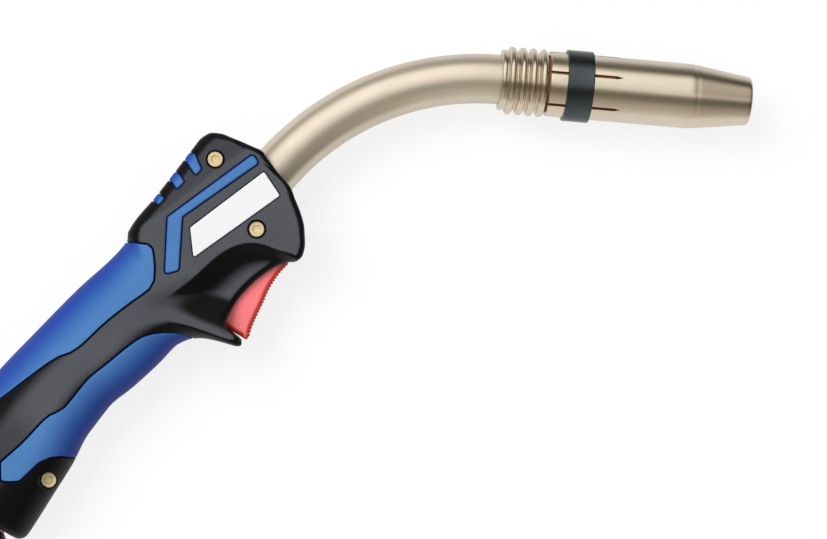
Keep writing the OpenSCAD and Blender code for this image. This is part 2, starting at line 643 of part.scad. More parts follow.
// Brass block at the conductor's end; a screw's sleeve runs through its groove and locks the neck
module neck_block() color("#d2ad62") in_handle() difference() {
    union() {
        rod(0, block_l, block_r);
        rod(0, block_l + stub_l, conductor_d / 2);
    }
    rod(-1, block_l + stub_l + 1, liner_d / 2);
    translate([screws[1].x, screws[1].y, -20]) cylinder(r = sleeve_d / 2 + 0.1, h = 40);
}
module neck_nut() color("#d2ad62") in_handle() difference() {
    along(block_l) rotate([0, 0, 30]) cylinder(d = nut_flats / cos(30), h = nut_l, $fn = 6);
    rod(block_l - 1, block_l + nut_l + 1, conductor_d / 2);
}

// ---------------------------------------------------------------- collar and nozzle seat

module ribbed_collar() color("#c9bfae") placed() difference() {
    union() {
        rod(neck_x, collar_x, valley_d / 2);
        tube(neck_x, neck_x + flange_w, valley_d / 2 + 0.6, 5);
        for (i = [0:rib_count - 1]) along(collar_x - rib_pitch * (i + 0.5)) rotate_extrude()
            translate([rib_d / 2 - 1.55, 0]) union() {
                circle(r = 1.55);
                translate([-4, -1.55]) square([4, 3.1]);
            }
    }
    rod(neck_x - 1, neck_x + tube_seat, neck_r_out);
    rod(neck_x, collar_x + 1, core_r);
}

// Copper head of the neck: takes the conductor behind and the tip holder in front
module neck_head() color("#b87443") placed() difference() {
    rod(neck_x + 3.4, seat_end, core_r);
    rod(neck_x, neck_x + 12, conductor_d / 2);
    rod(neck_x, seat_end + 1, liner_d / 2 + 0.4);
    rod(seat_end - 14, seat_end + 1, 5);
}

module nozzle_insulator() color("#e9e4d6") placed() tube(collar_x, seat_end, socket_r - fit, core_r);

// Gas nozzle: straight slotted socket, then a taper to the mouth
module gas_nozzle() color("#c9bfae") placed() difference() {
    union() {
        rod(socket_x, -taper_l, nozzle_d / 2);
        cone(-taper_l, -0.8, nozzle_d / 2, mouth_d / 2);
        cone(-0.8, 0, mouth_d / 2, mouth_d / 2 - 0.8);
    }
    rod(socket_x - 1, seat_end + 2, socket_r);
    rod(seat_end, -taper_l + 2, socket_r - 0.4);
    cone(-taper_l + 2 - eps, -4, socket_r - 0.4, mouth_bore_d / 2);
    rod(-4 - eps, 1, mouth_bore_d / 2);
    for (i = [0:slot_count - 1]) rotate([slot_turn + 360 * i / slot_count, 0, 0])
        translate([socket_x - 1, 0, 0]) linear_extrude(nozzle_d) polygon([
            [0, -slot_w / 2], [slot_l - 2.5, -slot_w / 2], [slot_l, 0],
            [slot_l - 2.5, slot_w / 2], [0, slot_w / 2]
        ]);
}

band_x = socket_x + band_inset;
band_edge = 0.45;                     // chamfer round the band's ends
module clamp_band() color("#222326") placed() along(band_x) rotate_extrude()
    translate([nozzle_d / 2, 0]) polygon([
        [0, 0], [band_wall - band_edge, 0], [band_wall, band_edge], [band_wall, band_w - band_edge],
        [band_wall - band_edge, band_w], [0, band_w]
    ]);

// Diffuser: a ring with radial gas holes round the tip holder
module gas_diffuser() color("#f0ece2") placed() difference() {
    tube(seat_end, seat_end + 14, 9.2, 6);
    for (i = [0:7]) rotate([45 * i, 0, 0]) translate([seat_end + 7, 0, 5]) cylinder(r = 0.9, h = 5);
}

tip_seat = -tip_recess - tip_l;       // rear face of the contact tip's body
flats_l = 6;                          // spanner flats behind the tip's body and on its holder
module spanner_flats(x, across_flats, r) for (side = [-1, 1])
    translate([x, side > 0 ? across_flats / 2 : -across_flats / 2 - r, -r]) cube([flats_l, r, 2 * r]);
module tip_holder() color("#d2ad62") placed() difference() {
    union() {
        rod(seat_end - 12, seat_end, 5);
        rod(seat_end, tip_seat, 6);
    }
    rod(seat_end - 20, tip_seat + 1, liner_d / 2 + 0.1);
    rod(tip_seat - 8, tip_seat + 1, 3);
    spanner_flats(tip_seat - flats_l - 2, 10, 6);
}

module contact_tip() color("#c07a45") placed() difference() {
    union() {
        rod(tip_seat - 7, tip_seat, 3);
        rod(tip_seat, -tip_recess - 3, tip_d / 2);
        cone(-tip_recess - 3, -tip_recess, tip_d / 2, tip_d / 2 - 1.4);
    }
    rod(tip_seat - 10, 0, wire_bore / 2);
    spanner_flats(-tip_recess - 4 - flats_l, 0.85 * tip_d, tip_d / 2);
}

// ---------------------------------------------------------------- cable swivel

module swivel_ring() color("#d8402c") in_handle() difference() {
    union() {
        rod(ring_flange[0], ring_flange[1], ring_r, swivel_across);
        rod(ring_flange[0], handle_end, 15, swivel_across);
        rod(handle_end, handle_end + ring_out, ring_r, swivel_across);
    }
    rod(ring_flange[0] - 1, handle_end + 5, ring_bore, swivel_across);
}

housing_mouth = -5.5;
housing_back = 14;
thread_r = 12.4;
ball_shoulder = handle_end + ring_out + gap;
// Turned profile of the swivel ball: shaft in the ring, flare, neck and ball
module swivel_ball() color("#26262a") in_handle() along(0, swivel_across) rotate_extrude() difference() {
    union() {
        translate([0, ball_at]) intersection() {
            circle(ball_r);
            translate([0, -ball_r]) square(2 * ball_r);
        }
        polygon([
            [0, ring_flange[0] - 3.2], [ring_bore - fit, ring_flange[0] - 3.2],
            [ring_bore - fit, ball_shoulder],
            [flare_r - 3.4, ball_shoulder], [flare_r, ball_shoulder + 2.2], [flare_r, ball_shoulder + 3],
            [flare_r - 3, ball_shoulder + 3.6], [ball_neck_r + 1.4, ball_shoulder + 3.6],
            [ball_neck_r, ball_shoulder + 5], [ball_neck_r, ball_at], [0, ball_at]
        ]);
    }
    square([ball_bore, ball_at + 30]);
    translate([clip_r, ring_flange[0] - 1.8]) square([ring_bore, clip_w]);
}

module swivel_clip() color("silver") in_handle()
    tube(ring_flange[0] - 1.8, ring_flange[0] - 1.8 + clip_w, 12.4, clip_r, swivel_across);

module swivel_housing() color("#26262a") in_handle()
    along(ball_at, swivel_across) rotate_extrude() difference() {
    union() {
        intersection() {
            circle(housing_r);
            translate([0, housing_mouth]) square([housing_r + 1, housing_back - housing_mouth]);
        }
        square([14.2, gland_from - ball_at]);
        square([thread_r, gland_from + 8 - ball_at]);
    }
    circle(ball_r + 0.1);
    polygon([
        [0, -20], [20, -20], [14.5, housing_mouth - 2], [11, housing_mouth + 0.5],
        [0, housing_mouth + 0.5]
    ]);
    square([hose_r + gap, 60]);
    translate([0, gland_from + 4 - ball_at]) square([seal_r, 10]);
}

gland_taper = 4;
module gland_nut() color("#202024") in_handle() difference() {
    intersection() {
        along(gland_from, swivel_across) cylinder(r = gland_r, h = gland_l, $fn = 12);
        union() {
            cone(gland_from, gland_from + 0.8, gland_r - 0.8, gland_r, swivel_across);
            rod(gland_from + 0.8, gland_from + gland_l - gland_taper, gland_r, swivel_across);
            cone(gland_from + gland_l - gland_taper, gland_from + gland_l,
                 gland_r, gland_r - 1.8, swivel_across);
        }
    }
    rod(gland_from - 1, gland_from + 8, thread_r, swivel_across);
    rod(gland_from, gland_from + 30, hose_r, swivel_across);
}

module gland_seal() color("#111113") in_handle()
    tube(gland_from + 4, gland_from + 8, seal_r, hose_r, swivel_across);

handle_shell_near();
handle_shell_far();
back_grip_near();
back_grip_far();
front_grip_near();
front_grip_far();
accent_stripe_near();
accent_stripe_far();
accent_bars_near();
accent_bars_far();
label_plate();
sleeve_nuts();
sleeve_screws();
trigger();
trigger_pin();
trigger_spring();
switch_carrier();
switch_body();
switch_button();
neck_outer_tube();
neck_insulation();
conductor_tube();
wire_liner();
neck_block();
neck_nut();
ribbed_collar();
neck_head();
nozzle_insulator();
gas_nozzle();
clamp_band();
gas_diffuser();
tip_holder();
contact_tip();
swivel_ring();
swivel_ball();
swivel_clip();
swivel_housing();
gland_nut();
gland_seal();
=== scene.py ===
# %% [markdown]
# # A MIG welding torch as worked-out surfaces
# The torch lies on its side on a pale bench. Its handle is two moulded shells with soft blue
# inlays; a bent neck carries a ribbed collar and a slotted gas nozzle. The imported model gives
# every size and place. The shapes that catch the light are worked out again here as smooth
# surfaces with numpy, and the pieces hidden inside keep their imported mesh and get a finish.

# %% The frame
import json
import bmesh
import bpy
import numpy as np
from mathutils import Matrix, Vector
from mathutils.geometry import delaunay_2d_cdt


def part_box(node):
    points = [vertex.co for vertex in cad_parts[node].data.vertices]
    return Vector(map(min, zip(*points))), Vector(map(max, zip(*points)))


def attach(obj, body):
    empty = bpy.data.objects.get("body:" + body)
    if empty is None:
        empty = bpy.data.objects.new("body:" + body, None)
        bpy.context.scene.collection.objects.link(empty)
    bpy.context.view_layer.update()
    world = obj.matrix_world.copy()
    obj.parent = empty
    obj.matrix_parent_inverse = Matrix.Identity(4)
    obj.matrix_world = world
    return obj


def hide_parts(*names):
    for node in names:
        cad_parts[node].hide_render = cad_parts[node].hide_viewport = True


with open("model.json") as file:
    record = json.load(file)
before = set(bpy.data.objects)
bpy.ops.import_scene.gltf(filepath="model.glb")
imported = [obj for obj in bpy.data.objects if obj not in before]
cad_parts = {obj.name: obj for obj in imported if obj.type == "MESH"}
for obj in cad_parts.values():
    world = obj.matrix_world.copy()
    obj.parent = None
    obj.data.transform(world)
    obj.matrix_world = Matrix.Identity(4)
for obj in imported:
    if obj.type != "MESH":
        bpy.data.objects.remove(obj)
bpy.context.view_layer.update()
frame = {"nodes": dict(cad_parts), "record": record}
nodes = frame["nodes"]

# %% [markdown]
# Two frames keep the numbers readable. The torch frame starts at the centre of the nozzle's
# mouth, with X along the nozzle. The handle frame starts where the neck's bend ends: u runs down
# the handle, v points to the trigger's side and z across the handle, 0 at the parting plane.

# %% Frames in millimetres
MM = 0.001
lo, hi = (np.array(c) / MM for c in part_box("gas_nozzle"))
mouth = np.array([hi[0], (lo[1] + hi[1]) / 2, (lo[2] + hi[2]) / 2])
neck_x, neck_r, bend = -101.2, 107.0, np.radians(57)
bend_end = mouth + [neck_x - neck_r * np.sin(bend), -neck_r * (1 - np.cos(bend)), 0]
turn = np.pi + bend
ALONG = np.array([np.cos(turn), np.sin(turn), 0])
ACROSS = np.array([-np.sin(turn), np.cos(turn), 0])
UP = np.array([0, 0, 1.0])


def in_handle(u, v, z):
    """Handle place (u, v, z) in part millimetres: the bend's end plus u along, v across, z up."""
    u, v, z = np.broadcast_arrays(np.asarray(u, float), v, z)
    return bend_end + u[..., None] * ALONG + v[..., None] * ACROSS + z[..., None] * UP


def laid(p):
    """Handle places of shape (..., 3) in part millimetres."""
    return in_handle(p[..., 0], p[..., 1], p[..., 2])


print("mouth", mouth.round(2), "bend ends at", bend_end.round(2))

# %% [markdown]
# The camera looks almost straight down on the bench, four degrees round towards the nozzle, from
# about a metre away with a long lens, so the torch is seen in profile with little perspective.

# %% Camera
focal_px, width_px = 2600, 827
distance = 1040
tilt, swing = np.radians(4.697), np.radians(4)
right = np.array([np.cos(swing) * np.cos(tilt), np.cos(swing) * np.sin(tilt), np.sin(swing)])
up = np.array([-np.sin(tilt), np.cos(tilt), 0])
back = np.cross(right, up)
aim = mouth + [-129.517, -78.711, 0]
camera = bpy.data.objects.new("camera", bpy.data.cameras.new("camera"))
camera.data.sensor_width = 36
camera.data.lens = 36 * focal_px / width_px
camera.data.clip_start, camera.data.clip_end = 0.05, 30
turned = Matrix(np.stack([right, up, back], 1).tolist()).to_4x4()
camera.matrix_world = Matrix.Translation(Vector((aim + back * distance) * MM)) @ turned
bpy.context.scene.collection.objects.link(camera)
bpy.context.scene.camera = camera
print("camera lens", round(camera.data.lens, 2), "mm")

# %% [markdown]
# The room and the finishes are made of shader nodes. A tree of nodes is hard to read when each one
# is written out, so four helpers write them: one makes any node with its links, and three make the
# kinds that come back often: a sum, a list of levels and a soft step.

# %% Node helpers
TOP_LEVEL = 1.25


def add(tree, kind, links=(), **settings):
    """A new shader node. links are (socket name or number, value or another node's output)."""
    node = tree.nodes.new(kind)
    for key, value in settings.items():
        setattr(node, key, value)
    for socket, value in links:
        if isinstance(value, bpy.types.NodeSocket):
            tree.links.new(value, node.inputs[socket])
        else:
            node.inputs[socket].default_value = value
    return node


def math(tree, operation, a, b=0.0, c=0.0):
    """One Math node, and its output."""
    return add(tree, "ShaderNodeMath", [(0, a), (1, b), (2, c)], operation=operation).outputs[0]


def ramp(tree, value, stops):
    """Level read off straight lines between stops of (place, level), levels up to TOP_LEVEL."""
    node = add(tree, "ShaderNodeValToRGB", [(0, value)])
    elements = node.color_ramp.elements
    while len(elements) < len(stops):
        elements.new(1.0)
    for element, (place, level) in zip(elements, stops):
        element.position = place
        element.color = (level / TOP_LEVEL,) * 3 + (1,)
    return math(tree, "MULTIPLY", node.outputs[0], TOP_LEVEL)


def rise(tree, value, low, high, a=0.0, b=1.0):
    """Smooth step from a at low to b at high."""
    return add(tree, "ShaderNodeMapRange", [
        ("Value", value), ("From Min", low), ("From Max", high), ("To Min", a), ("To Max", b)],
        interpolation_type="SMOOTHSTEP").outputs[0]


# %% [markdown]
# Polished metal has no look of its own: it shows the room. The room has one long bright panel on
# the side where the neck's back faces, a dark gap beside the camera, a paler wall opposite and a
# dark far edge of the bench. Lines of light and dark then run along the tubes. Dull surfaces get
# a plain soft light from the same room, strongest from above, and the camera sees plain white.

# %% Room
world = bpy.data.worlds.new("room")
world.use_nodes = True
bpy.context.scene.world = world
tree = world.node_tree
tree.nodes.clear()
direction = add(tree, "ShaderNodeTexCoord").outputs["Generated"]
x, y, z = add(tree, "ShaderNodeSeparateXYZ", [(0, direction)]).outputs
angle = math(tree, "ARCTAN2", y, z)                     # from the zenith towards +Y, in radians
turn_share = math(tree, "MULTIPLY_ADD", angle, 1 / (2 * np.pi), 0.5)
room_stops = [(-100, 0.74), (-67, 0.5), (-45, 0.36), (-33, 0.2), (-20, 0.14), (-10, 0.26),
              (-2, 0.74), (10, 1.02), (30, 1.2), (56, 1.22), (66, 0.66), (76, 0.16), (100, 0.12)]
level = ramp(tree, turn_share, [(0.5 + degrees / 360, v) for degrees, v in room_stops])
# The panel is half as bright past its end, and the room darkens towards both ends of X
panel_end = math(tree, "MULTIPLY", rise(tree, x, 0.08, 0.3), rise(tree, angle, -0.1, 0.25))
level = math(tree, "MULTIPLY", level, math(tree, "MULTIPLY_ADD", panel_end, -0.5, 1.0))
front_end, rear_end = rise(tree, x, 0.3, 0.75, 1.0, 0.25), rise(tree, x, -0.95, -0.5, 0.4, 1.0)
level = math(tree, "MULTIPLY", level, math(tree, "MULTIPLY", front_end, rear_end))
# Dull surfaces get a soft light that falls off from the zenith. Where metal shows a dark part of
# the room, that part is a little warmer.
soft = rise(tree, z, 0.0, 1.0, 0.12, 0.75)
paths = add(tree, "ShaderNodeLightPath")
seen = add(tree, "ShaderNodeMix", [(0, paths.outputs["Is Glossy Ray"]), (2, soft), (3, level)],
           data_type="FLOAT").outputs[0]
strength = add(tree, "ShaderNodeMix", [(0, paths.outputs["Is Camera Ray"]), (2, seen), (3, 1.0)],
               data_type="FLOAT").outputs[0]
plain = math(tree, "MAXIMUM", rise(tree, level, 0.1, 0.9),
             math(tree, "SUBTRACT", 1.0, paths.outputs["Is Glossy Ray"]))
warm = add(tree, "ShaderNodeMix", [(0, plain), (6, (1.0, 0.9, 0.72, 1)), (7, (1.0, 1.0, 1.0, 1))],
           data_type="RGBA")
glow = add(tree, "ShaderNodeBackground", [("Color", warm.outputs[2]), ("Strength", strength)])
add(tree, "ShaderNodeOutputWorld", [(0, glow.outputs[0])])
print("room of", len(room_stops), "levels")

# %% [markdown]
# One large soft lamp gives the mouldings a lit side and the torch a faint shadow on the bench. The
# bench is plain pale paint, a hair under the torch. A camera ray adds white to it, and a glossy ray
# adds some beside the torch, so that metal shows a pale bench that ends.

# %% Lamp and bench
def lamp(name, place, size, watts):
    """Soft square lamp at a place in metres, aimed at the torch's middle. Metal doesn't show it."""
    light = bpy.data.lights.new(name, "AREA")
    light.shape, light.size, light.energy = "SQUARE", size, watts
    piece = bpy.data.objects.new(name, light)
    piece.location = place
    piece.rotation_euler = (Vector((0, 0, 0.02)) - Vector(place)).to_track_quat("-Z", "Y").to_euler()
    piece.visible_glossy = False
    bpy.context.scene.collection.objects.link(piece)


lamp("key_light", (-0.75, 0.55, 1.3), 0.9, 17)

bench_half, bench_gap = 4, 0.0004
bench_mesh = bpy.data.meshes.new("bench")
bench_mesh.from_pydata([(a * bench_half, b * bench_half, -bench_gap)
                        for a, b in ((-1, -1), (1, -1), (1, 1), (-1, 1))], [], [(0, 1, 2, 3)])
bench = bpy.data.objects.new("bench", bench_mesh)
bpy.context.scene.collection.objects.link(bench)
paint = bpy.data.materials.new("bench_white")
paint.use_nodes = True
tree = paint.node_tree
paths = add(tree, "ShaderNodeLightPath")
white_seen, white_mirrored = 0.8, 0.58
shown = math(tree, "MAXIMUM", paths.outputs["Is Camera Ray"], paths.outputs["Is Transmission Ray"])
ground_y = add(tree, "ShaderNodeSeparateXYZ", [
    (0, add(tree, "ShaderNodeTexCoord").outputs["Object"])]).outputs[1]
mirrored = rise(tree, ground_y, 0.12, 0.28, white_mirrored, 0.0)
lit = math(tree, "MAXIMUM", math(tree, "MULTIPLY", shown, white_seen),
           math(tree, "MULTIPLY", paths.outputs["Is Glossy Ray"], mirrored))
cloud = add(tree, "ShaderNodeTexNoise", [("Scale", 3.0), ("Detail", 2.0)])
tint = add(tree, "ShaderNodeMapRange", [("Value", cloud.outputs[0]), ("To Min", 0.2), ("To Max", 0.22)])
shader = tree.nodes["Principled BSDF"]
tree.links.new(tint.outputs[0], shader.inputs["Base Color"])
shader.inputs["Roughness"].default_value = 0.9
shader.inputs["Specular IOR Level"].default_value = 0.1
shader.inputs["Emission Color"].default_value = (1, 1, 1, 1)
tree.links.new(lit, shader.inputs["Emission Strength"])
bench_mesh.materials.append(paint)
print("bench", 2 * bench_half, "m wide")

# %% [markdown]
# Finishes come next. Each one starts from a plain colour and gets what the real surface has: a
# spark-eroded grain on moulded plastic, a dull fine grain on soft rubber, turning marks round a
# nozzle, a drawn grain along a tube. Colours drift a little over a few centimetres, because no
# moulding or plating is even. Grain is bump, and its depth is given in millimetres.

# %% Finish helpers
def srgb(r, g, b):
    """Colour values as written on screen, 0 to 255, turned into the shader's linear colour."""
    c = np.array([r, g, b]) / 255
    return tuple(np.where(c < 0.04045, c / 12.92, ((c + 0.055) / 1.055) ** 2.4).tolist()) + (1.0,)


def finish(name, light, dark, rough, drift=45, grain=2600, depth=0.012, stretch=(1, 1, 1),
           metal=0.0, specular=0.5, spread=0.05, by_uv=False, speck=0.5, slope=None,
           low=0.93, power=4.0):
    """Principled finish: two colours mixed by a slow noise and a fine one, and bump from the fine.
    slope is a painted shade colour for where a moulding turns down, away from the light: it gives
    way to them as the attribute `facing_shade` goes from low up to 1, with that share raised to power."""
    material = bpy.data.materials.new(name)
    material.use_nodes = True
    tree = material.node_tree
    shader = tree.nodes["Principled BSDF"]
    coordinates = add(tree, "ShaderNodeTexCoord")
    place = coordinates.outputs["UV" if by_uv else "Object"]
    slow = add(tree, "ShaderNodeTexNoise", [("Vector", coordinates.outputs["Object"]),
                                            ("Scale", float(drift)), ("Detail", 3.0)])
    drawn = add(tree, "ShaderNodeMapping", [("Vector", place), ("Scale", stretch)])
    fine = add(tree, "ShaderNodeTexNoise", [("Vector", drawn.outputs[0]), ("Scale", float(grain)),
                                            ("Detail", 4.0), ("Roughness", 0.6)])
    both = math(tree, "MULTIPLY_ADD", fine.outputs[0], speck,
                math(tree, "MULTIPLY", slow.outputs[0], 1 - speck))
    mix = add(tree, "ShaderNodeMapRange", [("Value", both), ("From Min", 0.3), ("From Max", 0.7)])
    colour = add(tree, "ShaderNodeMix", [(0, mix.outputs[0]), (6, dark), (7, light)],
                 data_type="RGBA")
    shade = colour.outputs[2]
    # Painted shade: the colour goes to slope where the surface turns away from the light.
    if slope is not None:
        facing_shade = add(tree, "ShaderNodeAttribute", attribute_name="facing_shade").outputs["Fac"]
        share = add(tree, "ShaderNodeMapRange", [("Value", facing_shade), ("From Min", low)]).outputs[0]
        share = math(tree, "POWER", share, power)
        shade = add(tree, "ShaderNodeMix", [(0, share), (6, slope), (7, shade)],
                    data_type="RGBA").outputs[2]
    tree.links.new(shade, shader.inputs["Base Color"])
    gloss = add(tree, "ShaderNodeMapRange", [("Value", both), ("From Min", 0.3), ("From Max", 0.7),
                                             ("To Min", rough + spread), ("To Max", rough - spread)])
    tree.links.new(gloss.outputs[0], shader.inputs["Roughness"])
    bump = add(tree, "ShaderNodeBump", [("Strength", 1.0), ("Distance", depth * MM),
                                        ("Height", fine.outputs[0])])
    tree.links.new(bump.outputs[0], shader.inputs["Normal"])
    shader.inputs["Metallic"].default_value = metal
    shader.inputs["Specular IOR Level"].default_value = specular
    return material


# %% Finishes
# The slope colours of the shell, the blue inlays and the trigger are painted shade where they turn away from
# the light.
FINISH = {
    "shell": finish("moulded_shell", srgb(87, 89, 95), srgb(75, 77, 82), 0.42, grain=2200,
                    depth=0.012, specular=0.12, slope=srgb(15, 15, 17), power=2.0),
    "grip_blue": finish("soft_blue", srgb(78, 129, 185), srgb(70, 118, 177), 0.5, grain=3000,
                        depth=0.012, specular=0.3, slope=srgb(8, 56, 164), low=0.3, power=2.0),
    "label_white": finish("label_vinyl", srgb(238, 238, 240), srgb(232, 232, 234), 0.4, grain=900,
                          depth=0.004, specular=0.3),
    "fastener_brass": finish("turned_brass", srgb(255, 238, 194), srgb(250, 226, 170), 0.45,
                             grain=900, depth=0.004, stretch=(0.06, 1, 1), metal=0.55, by_uv=True),
    "trigger_red": finish("trigger_coral", srgb(255, 134, 136), srgb(252, 122, 124), 0.42,
                          grain=2400, depth=0.01, specular=0.4, slope=srgb(214, 58, 44), low=0.8),
    "steel": finish("bright_steel", srgb(198, 199, 201), srgb(160, 161, 164), 0.3, metal=1.0,
                    depth=0.006),
    "inner_black": finish("carrier_black", srgb(40, 40, 43), srgb(28, 28, 31), 0.55),
    "nickel": finish("satin_nickel", srgb(238, 224, 204), srgb(228, 214, 192), 0.22, drift=60,
                     grain=1400, depth=0.0016, stretch=(0.5, 0.012, 1), metal=1.0, by_uv=True,
                     spread=0.04, speck=0.4),
    "drawn_nickel": finish("drawn_nickel", srgb(240, 226, 206), srgb(230, 216, 194), 0.34,
                           drift=60, grain=1400, depth=0.0016, stretch=(0.5, 0.012, 1),
                           metal=0.78, by_uv=True, spread=0.04, speck=0.4),
    "copper": finish("drawn_copper", srgb(206, 132, 86), srgb(176, 104, 62), 0.34, metal=1.0,
                     depth=0.008, stretch=(0.1, 1, 1)),
    "slot_brown": finish("sawn_copper", srgb(150, 88, 42), srgb(104, 56, 24), 0.6, metal=0.4),
    "phenolic": finish("brown_phenolic", srgb(168, 120, 80), srgb(134, 92, 58), 0.6),
    "insulation": finish("pale_insulation", srgb(234, 229, 214), srgb(218, 211, 194), 0.6),
    "band_black": finish("phosphated_band", srgb(90, 97, 100), srgb(68, 74, 77), 0.26, metal=1.0,
                         grain=1800, depth=0.006),
    "swivel_red": finish("swivel_red", srgb(226, 62, 40), srgb(206, 48, 30), 0.4),
    "swivel_black": finish("swivel_black", srgb(44, 44, 48), srgb(30, 30, 34), 0.45, depth=0.02),
}
print("finishes", len(FINISH))

# %% [markdown]
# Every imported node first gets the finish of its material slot. Pieces made below replace the
# nodes that they stand for, and the rest keep this finish.

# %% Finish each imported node
slots = {part["node"]: part["material_slot"] for part in frame["record"]["subparts"]}
for name, node in nodes.items():
    chosen = FINISH["phenolic" if name == "nozzle_insulator" else slots[name]]
    node.data.materials.clear()
    node.data.materials.append(chosen)
print("slots in use", sorted(set(slots.values())))

# %% [markdown]
# A worked-out surface is a grid of points: rows along one parameter, columns along the other.
# These helpers turn such a grid into faces and put a finished piece into the scene. Points that
# lie on each other are merged, so that light runs over a seam without a line.

# %% Surface helpers
def quads(rows, columns, flip=False):
    """Four-cornered faces of a grid of points. Their outside is columns' way times rows' way."""
    i = np.arange(rows * columns).reshape(rows, columns)
    q = np.stack([i[:-1, :-1], i[:-1, 1:], i[1:, 1:], i[1:, :-1]], -1).reshape(-1, 4)
    return q[:, ::-1] if flip else q


class Surface:
    """Points, faces and, where a finish follows the surface, a two-number map, sheet by sheet."""

    def __init__(self):
        self.points, self.maps, self.faces, self.count = [], [], [], 0

    def sheet(self, points, faces, maps=None):
        """Adds points of shape (..., 3) and faces that count from this sheet's first point."""
        points = np.asarray(points, float).reshape(-1, 3)
        maps = np.zeros((len(points), 2)) if maps is None else np.asarray(maps, float).reshape(-1, 2)
        self.points.append(points)
        self.maps.append(maps)
        if isinstance(faces, list):
            self.faces += [[i + self.count for i in face] for face in faces]
        else:
            self.faces += (faces + self.count).tolist()
        self.count += len(points)
        return self

    def grid(self, points, flip=False, maps=None):
        """Adds a grid of points of shape (rows, columns, 3)."""
        points = np.asarray(points, float)
        return self.sheet(points, quads(points.shape[0], points.shape[1], flip), maps)

    def mirrored(self):
        """The same surface on the other side of the parting plane, its faces turned round."""
        other = Surface()
        points = np.concatenate(self.points)
        points[:, 2] = 2 * mouth[2] - points[:, 2]
        other.sheet(points, [], np.concatenate(self.maps))
        other.faces = [f[::-1] for f in self.faces]
        return other


SHADE_RANGE = 0.07


def build(name, surface, finish_name, body, replaces=(), merge=0.002, shade=None):
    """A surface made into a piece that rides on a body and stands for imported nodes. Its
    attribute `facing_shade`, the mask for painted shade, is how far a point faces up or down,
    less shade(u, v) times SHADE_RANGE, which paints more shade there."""
    points, maps = np.concatenate(surface.points) * MM, np.concatenate(surface.maps)
    mesh = bpy.data.meshes.new(name)
    mesh.from_pydata(points.tolist(), [], surface.faces)
    if maps.any():
        corner = np.empty(len(mesh.loops), np.int32)
        mesh.loops.foreach_get("vertex_index", corner)
        layer = mesh.uv_layers.new(name="surface")
        layer.data.foreach_set("uv", maps[corner].astype(np.float32).ravel())
    edit = bmesh.new()
    edit.from_mesh(mesh)
    bmesh.ops.remove_doubles(edit, verts=edit.verts, dist=merge * MM)
    loose = [v for v in edit.verts if not v.link_faces]
    bmesh.ops.delete(edit, geom=loose, context="VERTS")
    edit.to_mesh(mesh)
    edit.free()
    mesh.polygons.foreach_set("use_smooth", np.ones(len(mesh.polygons), bool))
    normals = np.empty(3 * len(mesh.vertices), np.float32)
    mesh.vertex_normals.foreach_get("vector", normals)
    facing_shade = np.abs(normals[2::3])
    # Painted shade: shade(u, v) darkens chosen places further.
    if shade is not None:
        place = np.empty(3 * len(mesh.vertices), np.float32)
        mesh.vertices.foreach_get("co", place)
        from_bend = place.reshape(-1, 3) / MM - bend_end
        facing_shade = facing_shade - SHADE_RANGE * shade(from_bend @ ALONG, from_bend @ ACROSS)
    mesh.attributes.new("facing_shade", "FLOAT", "POINT").data.foreach_set("value", facing_shade)
    mesh.materials.append(FINISH[finish_name])
    piece = bpy.data.objects.new(name, mesh)
    bpy.context.scene.collection.objects.link(piece)
    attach(piece, body)
    if replaces:
        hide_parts(*replaces)
    mesh.calc_loop_triangles()
    print(name, "triangles", len(mesh.loop_triangles))
    return piece


# %% [markdown]
# The handle's skin follows smooth lines down its length: where its back and front edges run, how
# thick it is and how round its edges are. A curve through each table's points that never
# overshoots keeps a straight stretch straight, as a tool maker's spline does.

# %% Handle lines
def curve(table):
    """Smooth curve through [x, y] pairs: cubic pieces whose slopes are the neighbours' harmonic
    mean, and zero where the line turns."""
    x, y = np.asarray(table, float).T
    d = np.diff(y) / np.diff(x)
    slope = np.concatenate([d[:1], np.zeros(len(x) - 2), d[-1:]])
    same = d[:-1] * d[1:] > 0
    slope[1:-1][same] = 2 * (d[:-1] * d[1:])[same] / (d[:-1] + d[1:])[same]

    def at(q):
        q = np.clip(q, x[0], x[-1])
        i = np.clip(np.searchsorted(x, q, "right") - 1, 0, len(x) - 2)
        w = x[i + 1] - x[i]
        s = (q - x[i]) / w
        return (y[i] * (1 + 2 * s) * (1 - s) ** 2 + slope[i] * w * s * (1 - s) ** 2
                + y[i + 1] * s * s * (3 - 2 * s) + slope[i + 1] * w * s * s * (s - 1))
    return at


head_l, grip_l = 70, 101.5


def g(share):
    """Place along the handle, as a share of the grip's length behind the head."""
    return head_l + share * grip_l


